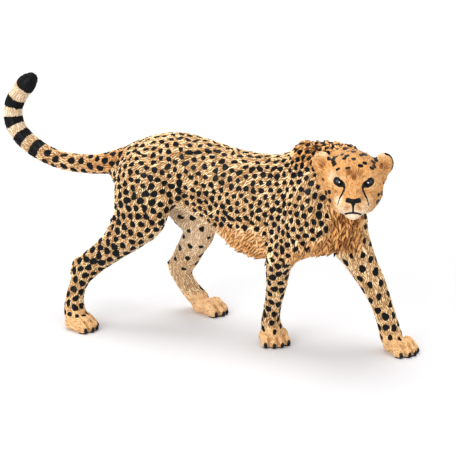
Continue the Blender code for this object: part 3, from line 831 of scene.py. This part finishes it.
def spot_edge(points, nearest=3):
    ground = lookup(SPOT_AT)
    which = np.array([[hit[1] for hit in ground.find_n(p, nearest)] for p in points], int)
    which = which.reshape(-1, nearest)
    edge = np.full(len(points), np.inf)
    for k in range(nearest):
        i = which[:, k]
        off = points - SPOT_AT[i]
        side = np.cross(SPOT_UP[i], SPOT_LIE[i])
        a, b = (off * SPOT_LIE[i]).sum(1), (off * side).sum(1)
        lift = (off * SPOT_UP[i]).sum(1)
        c, s = np.cos(SPOT_TURN[i]), np.sin(SPOT_TURN[i])
        a, b = (a * c + b * s) / SPOT_LONG[i], b * c - a * s
        round_it = np.arctan2(b, a)
        lobes = 0.1 * np.cos(2 * round_it + SPOT_WAVE[0, i]) + 0.08 * np.cos(3 * round_it + SPOT_WAVE[1, i])
        edge = np.minimum(edge, np.sqrt(a * a + b * b + lift * lift) - SPOT_R[i] * (1 + lobes))
    return edge


black = spot_edge(co)
told("spots on the skin,")

# %% Even rings on the tail and a black tip, in millimetres along it

RINGS, FIRST_RING, RING_PITCH, RING_WIDTH, BLACK_TIP = 4, 25.5, 4.6, 2.4, 45
rings = BLACK_TIP - station
for i in range(RINGS):
    middle = FIRST_RING + RING_PITCH * i + RING_WIDTH / 2
    rings = np.minimum(rings, np.abs(station - middle) - RING_WIDTH / 2)
ringed = on["tail"] & (station > 24.4)
black[ringed] = 9.0
black[on["tail"]] = np.minimum(black, rings)[on["tail"]]

# %% The face: brows, tear lines, nose, lips and small marks


def hit_head(start, way):
    return in_head(np.array(tree.ray_cast(HEAD @ Vector(start), HEAD.to_3x3() @ Vector(way))[0]))


def on_face(aside, up):
    """The point of the skin that lies straight behind a place in front of the face."""
    return hit_head((20, aside, up), (-1, 0, 0))


def on_crown(aside, rise):
    """The point at an angle over the head, from 0 at the front to 180 at the back, so far to the side."""
    way = turned(-rise, "Y") @ Vector((1, 0, 0))
    return hit_head(way * 20 + Vector((0, aside, 0)), -way)


def brushed(line, start, end, press=on_face, steps=7):
    """Distance to the edge of a brush stroke on the head: its path, and its first and last half width."""
    path = []
    for a, b in zip(line, line[1:]):
        path += [press(*(np.array(a) + (np.array(b) - np.array(a)) * i / steps)) for i in range(steps)]
    near, place = near_line(head_co, np.array([*path, press(*line[-1])]))
    return near - (start + (end - start) * place)


def dab(at, half, thick, slant):
    """Distance to the edge of a short dash, drawn as seen from before the face; slant in degrees."""
    nod = math.radians(17)
    off = head_co - head_co[distance(head_co, at).argmin()]
    high = off[:, 2] * math.cos(nod) - off[:, 0] * math.sin(nod)
    c, s = math.cos(math.radians(slant)), math.sin(math.radians(slant))
    along, across = off[:, 1] * c + high * s, high * c - off[:, 1] * s
    reach = np.linalg.norm(off, axis=1) - (half + thick + 0.3)  # short too where the head turns away
    return np.maximum(np.hypot(np.maximum(np.abs(along) - half, 0), across) - thick - 0.04, reach)


LIP_AT, NOSE_AT = -4.42, -1.8
front = head_co[:, 0] > 0
marks = [
    brushed([(0, NOSE_AT - 0.3), (0, -2.95)], 0.6, 0.22),
    brushed([(0, -3.0), (0, LIP_AT)], 0.22, 0.21),
]
for side in SIDES:
    aside, up = head_co[:, 1] * side - EYE_AT[1], head_co[:, 2] - EYE_AT[2]
    aside, up = aside * 0.985 + up * 0.17, up * 0.985 - aside * 0.17  # the outer corner sits higher
    almond = np.abs(aside / 1.28) ** 1.7 + np.abs(up / 0.78) ** 1.7
    tear_line = [(1.8 * side, 0.4), (2.2 * side, -0.8), (2.8 * side, -2), (3.2 * side, -3.5)]
    lip = [(0, LIP_AT), (0.9 * side, LIP_AT - 0.12), (1.75 * side, LIP_AT - 0.52)]
    marks += [
        np.where(front, (almond ** (1 / 1.7) - 1) * 0.78, 9),  # rim of the eye
        brushed([(2.2 * side, 0.6), (1.8 * side, 0.35), (1.85 * side, -0.3)], 0.36, 0.2),  # its inner corner
        brushed(tear_line, 0.3, 0.1),
        brushed(lip, 0.24, 0.25),
        brushed([(0, NOSE_AT), (1.3 * side, NOSE_AT + 0.1)], 0.55, 0.52),  # half of the nose
    ]

# Rows of short dashes go over the head from brow to nape, four and five by turns, and fan out to the sides.
CROWN_ROWS, CROWN_START, CROWN_PITCH, CROWN_WIDE = 7, 52, 14, 4.2
dice = np.random.default_rng(3)
for row in range(CROWN_ROWS):
    rise, count = CROWN_START + CROWN_PITCH * row, 4 + row % 2
    wide = CROWN_WIDE * math.cos(0.8 * math.radians(rise - 85))
    for i in range(count):
        aside = wide * (2 * i / (count - 1) - 1) + dice.normal(0, 0.2)
        at = on_crown(aside, rise + dice.normal(0, 2.5))
        slant = -8 * aside + dice.normal(0, 5)
        marks.append(dab(at, dice.uniform(0.12, 0.32), dice.uniform(0.22, 0.34), slant))
for side in SIDES:  # two staggered rows of dabs on each cheek
    for i in range(6):
        at = np.array([3.4 - 0.8 * i, 5 * side, -1.7 - 1.5 * (i % 2)]) + dice.normal(0, 0.2, 3)
        marks.append(dab(at, 0.14, dice.uniform(0.22, 0.38), 70 * side))
face_black = np.minimum.reduce(marks)

RIM_DASHES = {1: (78, 52, 28, 8, -12, -32), -1: (150,)}  # degrees round each ear, where black reaches over
eared = np.zeros(len(co), bool)
for side in SIDES:  # black backs of the ears, with a brushed edge that breaks up over the rim
    own = (np.c_[head_co, np.ones(len(co))] @ np.array(ear_frame(side).inverted()).T)[:, :3]
    out, turn = np.hypot(own[:, 1] / 2.3, own[:, 2] / 2.45), np.arctan2(own[:, 2], own[:, 1] * side)
    edge = own[:, 0] + 0.35 - 0.25 * np.cos(9 * turn) - 0.15 * np.cos(5 * turn + 2 * side)
    for rim_turn in map(math.radians, RIM_DASHES[side]):
        at = (0.6, 2.15 * math.cos(rim_turn) * side, 2.3 * math.sin(rim_turn))
        edge = np.minimum(edge, distance(own, at) - 0.56)
    flap = (out < 1.25) & (own[:, 2] > -1.6) & (np.abs(own[:, 0]) < 1.6)
    face_black = np.where(flap, np.minimum(face_black, edge), face_black)
    eared |= flap
black = np.where(on["head"], np.minimum(face_black, black), black)
for name, (at, heading, length, width) in PAWS.items():  # dark toe pads along the front of each sole, and a painted contact shadow over its lowest 0.3 mm
    own = (co - (*at, 0.0)) @ np.array(paw_frame(at, heading).to_3x3())
    pads_and_contact_shadow = np.maximum(own[:, 2] - 0.3, 0.08 * length - own[:, 0])
    black = np.where(on[f"leg_{name}"] & (z < 3), np.minimum(black, pads_and_contact_shadow), black)
told("face painted,")

# %% Pale and brown-washed parts of the coat


def patch(at, radii, soft=0.5, where=head_co):
    """1 inside an ellipsoid, fading to 0 outside it."""
    far = np.linalg.norm((where - np.array(at)) / np.array(radii), axis=1)
    return 1 - smooth_step(far, 1 - soft, 1 + soft)


def on_both(at, radii, soft=0.5, left=1.0, right=1.0):
    """A patch on each side of the head, each with a strength of its own."""
    ahead, aside, up = at
    both = [patch((ahead, aside * side, up), radii, soft) for side in SIDES]
    return np.maximum(both[0] * left, both[1] * right)


shoulder_edge = np.array([(15.8, -8.0, 37.0), (15.6, -8.2, 33.0), (13.8, -7.0, 28.4)])
pale_body = [
    smooth_step(-normals[:, 2], 0.2, 0.8) * (z > 15) * ~on["head"] * 0.45 * (1 - fringe),  # underside
    inner * smooth_step(z, 12, 18) * np.where(x < 0, 0.85, 0.12),  # insides of the legs: pale fur, strongest on the hind legs, where it is lightened further as painted light on sides the lamps leave in shade
    # low on the inside of the left hind leg: pale fur, lightened further as painted light where it lies in
    # shade
    0.35 * on["leg_hind_left"] * (normals[:, 1] < 0.3) * (z < 14),
    on["tail"] * smooth_step(station, 26, 33),
    0.1 * smooth_step(-z, -5.5, -2.5),  # feet
    0.55 * (1 - smooth_step(near_line(co, shoulder_edge)[0], 0.6, 1.9)),
]
pale_face = [
    patch((6.2, 0, -4.1), (4.0, 3.5, 2.0)),  # muzzle
    patch((3.5, 0, -6.0), (4.5, 3.6, 1.7)),  # chin
    on_both((5.5, 2.9, -2.7), (2.2, 0.9, 1.6), left=0.5),  # whisker pads
    0.65 * on_both((2.8, 4.6, 1.9), (2.3, 1.4, 1.2), left=0.3, right=0.9),  # brows
    0.25 * on_both((4.0, 3.1, 0.9), (1.6, 1.9, 1.5), 0.3),  # lids
    0.6 * on_both((-1.6, 6.7, 3.9), (3, 3, 3.2)) * smooth_step(head_co[:, 2], 4.4, 5.8),  # rims of the ears
]
pale = np.where(on["head"], np.maximum.reduce(pale_face), np.maximum.reduce(pale_body))
wash_body = [
    0.8 * fringe,
    breast,
    0.85 * mane,
    0.5 * on["neck"],
    (0.35 + 0.4 * (1 - smooth_step(station, 6, 17))) * on["tail"] * (station < 24.4),
    0.45 * (z < 5),
]
for at, heading, length, width in PAWS.values():
    for line, _, _ in toe_strokes(length, width):
        cleft, _ = near_line(co, np.array([paw_frame(at, heading) @ Vector(p) for p in line]))
        wash_body.append(0.8 * (1 - smooth_step(cleft, 0.15, 0.6)))
wash_face = [
    1.04 * on_both((4.2, 0.9, 3.3), (2.6, 1.7, 1.3), 0.8),  # forehead
    1.04 * patch((4.6, 0, 2.3), (2, 1, 1)),
    0.85 * on_both((5.0, 1.0, 1.6), (2.0, 0.45, 1.1), 0.7),  # bridge of the nose
    1.1 * on_both((3.9, 3.1, -0.9), (2.0, 1.4, 1.1), 0.7),  # cheeks
    0.9 * on_both((7.6, 1.2, -3.2), (1.8, 0.9, 0.8), 0.7),  # whiskers
    *(1.02 * patch((-0.4, EAR_ASIDE[side] * side, 3.6), (1.5, 1.5, 1.5)) for side in SIDES),  # ear cups
    0.8 * (1 - pale),
]
wash = np.where(on["head"], np.maximum.reduce(wash_face), np.maximum.reduce(wash_body))
pale, wash = shared(np.c_[pale, wash], 4).T

# %% [markdown]
# ## The fur
#
# One stroke of fur is a bud turned on a lathe with three sides: a point buried in the skin, a ridge and a
# tip. It is copied to each place that was sprinkled, laid along the flow of the coat and pressed onto the
# skin, so that the rows of strokes look cut into the plastic. Copies are made as one mesh for each part
# of the body, because instances and hair curves are lost when the model is exported.

# %% One stroke


def bud(profile, sides=3):
    """A closed bud along X from 0 to 1, turned from (place, radius) pairs, with one ridge on top."""
    bm = bmesh.new()
    line = [bm.verts.new((place, 0, radius)) for place, radius in profile]
    for a, b in zip(line, line[1:]):
        bm.edges.new((a, b))
    turn = {"cent": (0, 0, 0), "axis": (1, 0, 0), "angle": 2 * math.pi, "steps": sides, "use_merge": True}
    bmesh.ops.spin(bm, geom=[*bm.verts, *bm.edges], **turn)
    bmesh.ops.remove_doubles(bm, verts=bm.verts, dist=1e-4)
    bmesh.ops.triangulate(bm, faces=bm.faces)
    bmesh.ops.recalc_face_normals(bm, faces=bm.faces)
    points = np.array([v.co for v in bm.verts])
    faces = np.array([[v.index for v in f.verts] for f in bm.faces])
    bm.free()
    return points, faces


STROKE = bud([(0, 0), (0.2, 0.85), (0.5, 1.0), (0.8, 0.7), (1, 0)])
TUFT = bud([(0, 0), (0.15, 0.8), (0.4, 1.0), (0.7, 0.75), (1, 0)], sides=4)
print("a stroke has", len(STROKE[1]), "triangles, a tuft", len(TUFT[1]))

# %% Laying strokes


MARKINGS = {"black": black, "pale": pale, "wash": wash}


def laid(shape, seed, face, weight, sizes, wander):
    """Buds on the skin. A bud's sizes are length, width, height, and how far its tip stands off."""
    dice = np.random.default_rng(seed)
    points, faces = shape
    length, width, height, lift = sizes.T
    root, lie = corners(co, face, weight), unit(corners(flow, face, weight))
    up = unit(corners(normals, face, weight))
    aside = np.cross(up, lie)
    turn = dice.normal(0, wander, len(root))[:, None]
    lie, aside = lie * np.cos(turn) + aside * np.sin(turn), aside * np.cos(turn) - lie * np.sin(turn)
    places = np.unique(points[:, 0].round(4))
    out = np.empty((len(root), len(points), 3))
    read = {name: np.empty((len(root), len(points))) for name in MARKINGS}
    spotted = corners(np.where(on["head"] | ringed, 0.0, 1.0), face, weight) > 0.5
    for t in places:
        at, hit, share = pressed(root + lie * ((t - 0.35) * length)[:, None])
        rise = unit(corners(normals, hit, share))
        for k in np.flatnonzero(np.isclose(points[:, 0], t, atol=1e-3)):
            side, top = points[k, 1], points[k, 2]
            bury = -0.35 if t < 0.01 else 0.0
            high = height * (top + bury) + lift * t * t
            out[:, k] = at + aside * (side * width / 2)[:, None] + rise * high[:, None]
            for name, values in MARKINGS.items():
                read[name][:, k] = corners(values, hit, share)
            read["black"][spotted, k] = spot_edge((at + aside * (side * width / 2)[:, None])[spotted])
    frayed = corners(np.where(ringed, 1.0, 0.0), face, weight) > 0.5
    read["black"][frayed] += dice.normal(0, 0.11, (frayed.sum(), 1))
    ridge = np.broadcast_to(np.clip(points[:, 2] * 0.75 + 0.45, 0, 1), out.shape[:2])
    tone = np.broadcast_to(dice.random(len(root))[:, None], out.shape[:2])
    return {"co": out, "shape": shape, "root": (face, weight), "ridge": ridge, "tone": tone, **read}


# %% One mesh from many buds, with the map that the finish is baked on

PATCH = 0.003  # how wide a stroke's patch is on that map


def chart(face, weight):
    """A root's place on the unwrapped skin of its limb: along it and round it, from 0 to 1."""
    along, round_it = corners(station, face, weight), angle[triangles[face, 0]]
    span = along.max() - along.min()
    return np.c_[(along - along.min()) / span, round_it / (2 * math.pi) + 0.5] * 0.98 + 0.01


def store(mesh, key, values):
    """Keeps a number on each point of a mesh, for its material to read."""
    mesh.attributes.new(key, "FLOAT", "POINT").data.foreach_set("value", values.astype(np.float32))


def finished(name, mesh, *paints):
    """A piece in metres from a mesh in the plan's millimetres."""
    mesh.transform(HOME)
    mesh.shade_smooth()
    for paint in paints:
        mesh.materials.append(paint.material)
    return as_object(name, mesh)


def joined(name, heaps):
    """Buds of several kinds as one mesh in metres."""
    points, faces, maps, values = [], [], [], {key: [] for key in (*MARKINGS, "ridge", "tone")}
    start = 0
    for heap in heaps:
        many, each = heap["co"].shape[:2]
        shape, corner = heap["shape"]
        index = np.arange(many)[:, None, None] * each + corner[None] + start
        own = shape[corner.ravel()][:, :2] - (0.5, 0)
        maps.append((chart(*heap["root"])[:, None] + own[None] * (PATCH, PATCH / 2)).reshape(-1, 2))
        points.append(heap["co"].reshape(-1, 3))
        faces.append(index.reshape(-1, 3))
        for key in values:
            values[key].append(heap[key].ravel())
        start += many * each
    points, faces = np.concatenate(points), np.concatenate(faces)
    mesh = bpy.data.meshes.new(name)
    mesh.from_pydata(points, [], faces)
    for key, parts in values.items():
        store(mesh, key, np.concatenate(parts))
    maps = np.concatenate(maps).astype(np.float32)
    mesh.uv_layers.new(name="OFBake").uv.foreach_set("vector", maps.ravel())
    print(name, len(faces), "triangles")
    return finished(name, mesh)


# %% Strokes over the whole figure

fine_fur = np.where(on["head"], np.where(eared, 0.5, 0.8), 0.6 * smooth_step(-z, -25, -19) * legs)
fine_fur = shared(fine_fur[:, None], 12)[:, 0]
stroke_gap = 0.31 - 0.06 * fine_fur
stroke_gap[z < 0.5] = 0
stroke_gap[on["head"] & (face_black < 0.3) & (head_co[:, 0] > -2.5)] = 0
face, weight = sprinkle(21, stroke_gap, 2.1, throws=7)
told(len(face), "strokes,")
dice = np.random.default_rng(22)
fine_here = corners(fine_fur, face, weight)
many = dice.uniform(0.7, 1.4, len(face))
height = (0.17 - 0.095 * fine_here) * dice.uniform(0.7, 1.15, len(face))
sizes = np.c_[(1.15 - 0.4 * fine_here) * many, (0.38 - 0.14 * fine_here) * many, height, 0 * height]
owner = region[triangles[face, 0]]
heaps = {}
for i, name in enumerate(REGIONS):
    m = owner == i
    heaps[name] = [laid(STROKE, 30 + i, face[m], weight[m], sizes[m], 0.3)]
told("strokes laid,")

# %% Tufts on the mane, the breast, the belly and the ruffs

shaggy = np.maximum.reduce([mane, fringe, 0.8 * ruff])
for layer, (gap, size) in enumerate(((0.7, 1.25), (0.52, 0.75))):
    tuft_gap = np.where(shaggy > 0.3 + 0.08 * layer, gap, 0)
    tuft_gap[on["head"] & (head_co[:, 0] > -3)] = 0
    face, weight = sprinkle(41 + layer, tuft_gap, 2.0, throws=9)
    dice = np.random.default_rng(43 + layer)
    here = corners(shaggy, face, weight)
    many = dice.uniform(0.75, 1.3, len(face)) * size * (0.55 + 0.45 * here)
    length = (2.1 - 0.8 * corners(mane, face, weight)) * many
    lift = 0.42 * many * dice.uniform(0.2, 1.2, len(face)) * (1 + 0.8 * corners(fringe, face, weight))
    sizes = np.c_[length, 0.62 * many, 0.36 * many, lift]
    owner = region[triangles[face, 0]]
    for i, name in enumerate(REGIONS):
        m = owner == i
        if m.any():
            heaps[name].append(laid(TUFT, 50 + 10 * layer + i, face[m], weight[m], sizes[m], 0.4))
    told(len(face), "tufts,")
coat = [joined(f"fur_{name}", heap) for name, heap in heaps.items()]
told("fur laid,")

# %% [markdown]
# ## Paint
#
# The finish is worked out from five numbers on every point of the skin and the fur: the distance to the
# black paint, how pale and how brown-washed the coat is, how high the point stands on its stroke, and a
# tone of its own for each stroke. A small class wraps a node's output and turns + - * into Math nodes, so
# that the shader reads as sums.

# %% A wire of a material, and a material to plug it into


class Wire:
    """One output of a node. Sums of wires and numbers add Math nodes; colours go through tint()."""

    def __init__(self, paint, socket):
        self.paint, self.socket = paint, socket

    def math(self, operation, *values):
        return self.paint.node("ShaderNodeMath", {"operation": operation}, dict(enumerate(values)))

    def __add__(self, other):
        return self.math("ADD", self, other)

    def __sub__(self, other):
        return self.math("SUBTRACT", self, other)

    def __rsub__(self, other):
        return self.math("SUBTRACT", other, self)

    def __mul__(self, other):
        return self.math("MULTIPLY", self, other)

    __radd__, __rmul__ = __add__, __mul__

    def step(self, low, high):
        """0 below low, 1 above high, and a smooth rise between them."""
        settings = {"interpolation_type": "SMOOTHSTEP"}
        values = {"Value": self, "From Min": low, "From Max": high}
        return self.paint.node("ShaderNodeMapRange", settings, values)


class Paint:
    """A material that is built from wires."""

    def __init__(self, name, **sockets):
        self.material = bpy.data.materials.new(name)
        self.material.use_nodes = True
        self.tree = self.material.node_tree
        self.shader = self.tree.nodes["Principled BSDF"]
        self.plug(self.shader, sockets)

    def plug(self, node, values):
        for key, value in values.items():
            socket = node.inputs[key.replace("_", " ") if isinstance(key, str) else key]
            if isinstance(value, Wire):
                self.tree.links.new(value.socket, socket)
            elif socket.type == "RGBA":
                socket.default_value = (*value, 1)
            else:
                socket.default_value = value

    def node(self, kind, settings=None, values=None, out=0):
        """Any node: its settings, the values or wires of its sockets, and which output comes back."""
        made = self.tree.nodes.new(kind)
        for key, value in (settings or {}).items():
            setattr(made, key, value)
        self.plug(made, values or {})
        return Wire(self, made.outputs[out])

    def read(self, name):
        return self.node("ShaderNodeAttribute", {"attribute_name": name}, out="Fac")

    def tint(self, factor, colour, other):
        """One colour going over to another as the factor goes from 0 to 1."""
        made = self.tree.nodes.new("ShaderNodeMix")
        made.data_type = "RGBA"
        self.plug(made, {0: factor, 6: colour, 7: other})
        return Wire(self, made.outputs[2])

    def grain(self, size):
        """Noise with grains of about so many millimetres."""
        place = self.node("ShaderNodeTexCoord", out="Object")
        values = {"Vector": place, "Scale": 1 / (size * MM), "Detail": 2.0}
        return self.node("ShaderNodeTexNoise", {}, values)


def rgb(red, green, blue):
    """A colour as the eye reads it, from 0 to 255, as the light that a shader works with."""
    return [((c / 255 + 0.055) / 1.055) ** 2.4 if c > 10 else c / 255 / 12.92 for c in (red, green, blue)]


# %% The painted coat

coat_paint = Paint("coat_paint", Specular_IOR_Level=0.14)
black_edge, pale_at, wash_at = (coat_paint.read(name) for name in ("black", "pale", "wash"))
ridge_at, tone_at = coat_paint.read("ridge"), coat_paint.read("tone")
blotch, speck = coat_paint.grain(2.5), coat_paint.grain(0.35)
height = (ridge_at * 0.7 + tone_at * 0.5 + blotch * 0.3 + speck * 0.3 - 0.5).step(0.0, 0.95)
tan = coat_paint.tint(height.step(0.0, 0.5), rgb(116, 78, 42), rgb(224, 177, 119))
tan = coat_paint.tint(height.step(0.4, 0.95), tan, rgb(255, 233, 189))
cream = coat_paint.tint(height, rgb(178, 140, 100), rgb(255, 241, 216))
coat_colour = coat_paint.tint(pale_at, tan, cream)
washed = coat_paint.tint(height, rgb(112, 62, 20), rgb(242, 178, 108))
coat_colour = coat_paint.tint((wash_at * (blotch + 0.5)).step(0.0, 1.0), coat_colour, washed)
stain = (wash_at * (1.4 - height * 0.5)).step(0.85, 1.3)
coat_colour = coat_paint.tint(stain, coat_colour, rgb(112, 62, 22))
inked = 1 - (black_edge + (speck - 0.5) * 0.2).step(-0.05, 0.05)
# Black paint with a painted sheen: it turns grey on the high ridges of the strokes, where gloss would catch
# the light.
ink_with_painted_sheen = coat_paint.tint((ridge_at * tone_at).step(0.5, 1.0), rgb(5, 6, 8), rgb(33, 33, 35))
coat_colour = coat_paint.tint(inked, coat_colour, ink_with_painted_sheen)
relief = {"Strength": 0.35, "Distance": 0.06 * MM, "Height": coat_paint.grain(0.25)}
bump = coat_paint.node("ShaderNodeBump", {}, relief)
gloss = 0.58 - inked * 0.22
coat_paint.plug(coat_paint.shader, {"Base_Color": coat_colour, "Roughness": gloss, "Normal": bump})
for made in coat:
    made.data.materials.append(coat_paint.material)

# %% The skin under the fur

ridge = np.where(on["head"] | (z < 4.5), 0.62, 0.25)
for key, values in {**MARKINGS, "ridge": ridge, "tone": np.full(len(co), 0.5)}.items():
    store(clay, key, values)
skin = finished("skin", clay, coat_paint)

# %% Glossy black eyes, each with a dot of white

eye_paint = Paint("eye_paint", Roughness=0.25, Specular_IOR_Level=0.22)
glint, sheen = eye_paint.read("glint"), eye_paint.read("sheen")
eye_colour = eye_paint.tint(sheen.step(0.05, 0.42), rgb(66, 68, 76), rgb(5, 5, 7))
eye_colour = eye_paint.tint(1 - glint.step(0.11, 0.16), eye_colour, rgb(250, 250, 248))
eye_paint.plug(eye_paint.shader, {"Base_Color": eye_colour})
eyes = []
for side, name in zip(SIDES, ("left", "right")):
    bm = bmesh.new()
    at = Vector(EYE_AT) * Vector((1, side, 1)) - Vector((0.1, 0, 0))
    place = HEAD @ Matrix.Translation(at) @ turned(90, "Y")
    bmesh.ops.create_uvsphere(bm, u_segments=40, v_segments=24, radius=EYE_R, matrix=place)
    mesh = as_mesh(f"eyeball_{name}", bm)
    for key, way in (("glint", (1.27, 0, 0.12)), ("sheen", (1.15, 0.5 * side, 0.3))):
        store(mesh, key, distance(numbers(mesh), HEAD @ (at + Vector(way))))
    eyes.append(finished(f"eyeball_{name}", mesh, eye_paint))

# %% Black claws at the tips of the toes: how far ahead of the tip, how high, and the radius

CLAW = [(0.7, 1.35, 0.22), (0.92, 1.05, 0.38), (1.05, 0.65, 0.42), (1.02, 0.3, 0.3), (0.95, 0.08, 0.1)]
claw_paint = Paint("claw_paint", Base_Color=rgb(12, 11, 11), Roughness=0.4, Specular_IOR_Level=0.2)
bm = bmesh.new()
for at, heading, length, width in PAWS.values():
    for tip, spread in toes(length, width):
        line = [(tip + ahead, CLAW_SPREAD * spread, up, r, r) for ahead, up, r in CLAW]
        limb(bm, line, paw_frame(at, heading), sides=10, steps=3)
bmesh.ops.recalc_face_normals(bm, faces=bm.faces)
claws = finished("claws", as_mesh("claws", bm), claw_paint)

# %% What rides on what, and the solids that the pieces stand in for are hidden

FLESH = [name for name in frame["nodes"] if not name.startswith("eye_")]
for piece in (skin, *coat, claws, *eyes):
    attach(piece, "root")
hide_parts(*FLESH)
for piece, name in zip(eyes, ("eye_left", "eye_right")):
    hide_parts(name)

# %% The studio: a pale floor, soft light and the camera

bpy.ops.mesh.primitive_plane_add(size=4)
floor = bpy.context.object
floor.name = "floor"
floor.data.materials.append(Paint("floor_paper", Base_Color=(0.68, 0.68, 0.69), Roughness=0.9).material)

world = bpy.data.worlds.new("studio")
bpy.context.scene.world = world
world.use_nodes = True
sky = world.node_tree.nodes["Background"].inputs
sky["Color"].default_value, sky["Strength"].default_value = (1, 1, 1, 1), 0.95
bpy.context.scene.view_settings.view_transform = "Standard"


def softbox(name, place, size, watts):
    lamp = bpy.data.lights.new(name, "AREA")
    lamp.size, lamp.energy = size, watts
    made = as_object(name, lamp)
    made.location = place
    made.rotation_euler = (Vector((0, 0, 0.025)) - Vector(place)).to_track_quat("-Z", "Y").to_euler()


softbox("key_light", (-0.4, 0.1, 3.2), 1.9, 56)
softbox("front_light", (-0.5, -2.75, 1.1), 1.9, 54)

TURN, RISE, FAR, LENS, LOOK_AT = 25.0, 18.0, 450.0, 163.4, (0.0, 0.0, 25.0)
turn, rise = math.radians(TURN), math.radians(RISE)
camera_data = bpy.data.cameras.new("camera")
camera_data.lens = LENS
camera_data.clip_start = 0.01
camera = as_object("camera", camera_data)
out = Vector((math.sin(turn) * math.cos(rise), -math.cos(turn) * math.cos(rise), math.sin(rise)))
camera.location = HOME @ (Vector(LOOK_AT) + out * FAR)
camera.rotation_euler = (-out).to_track_quat("-Z", "Y").to_euler()
bpy.context.scene.camera = camera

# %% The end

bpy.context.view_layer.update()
told("made in")
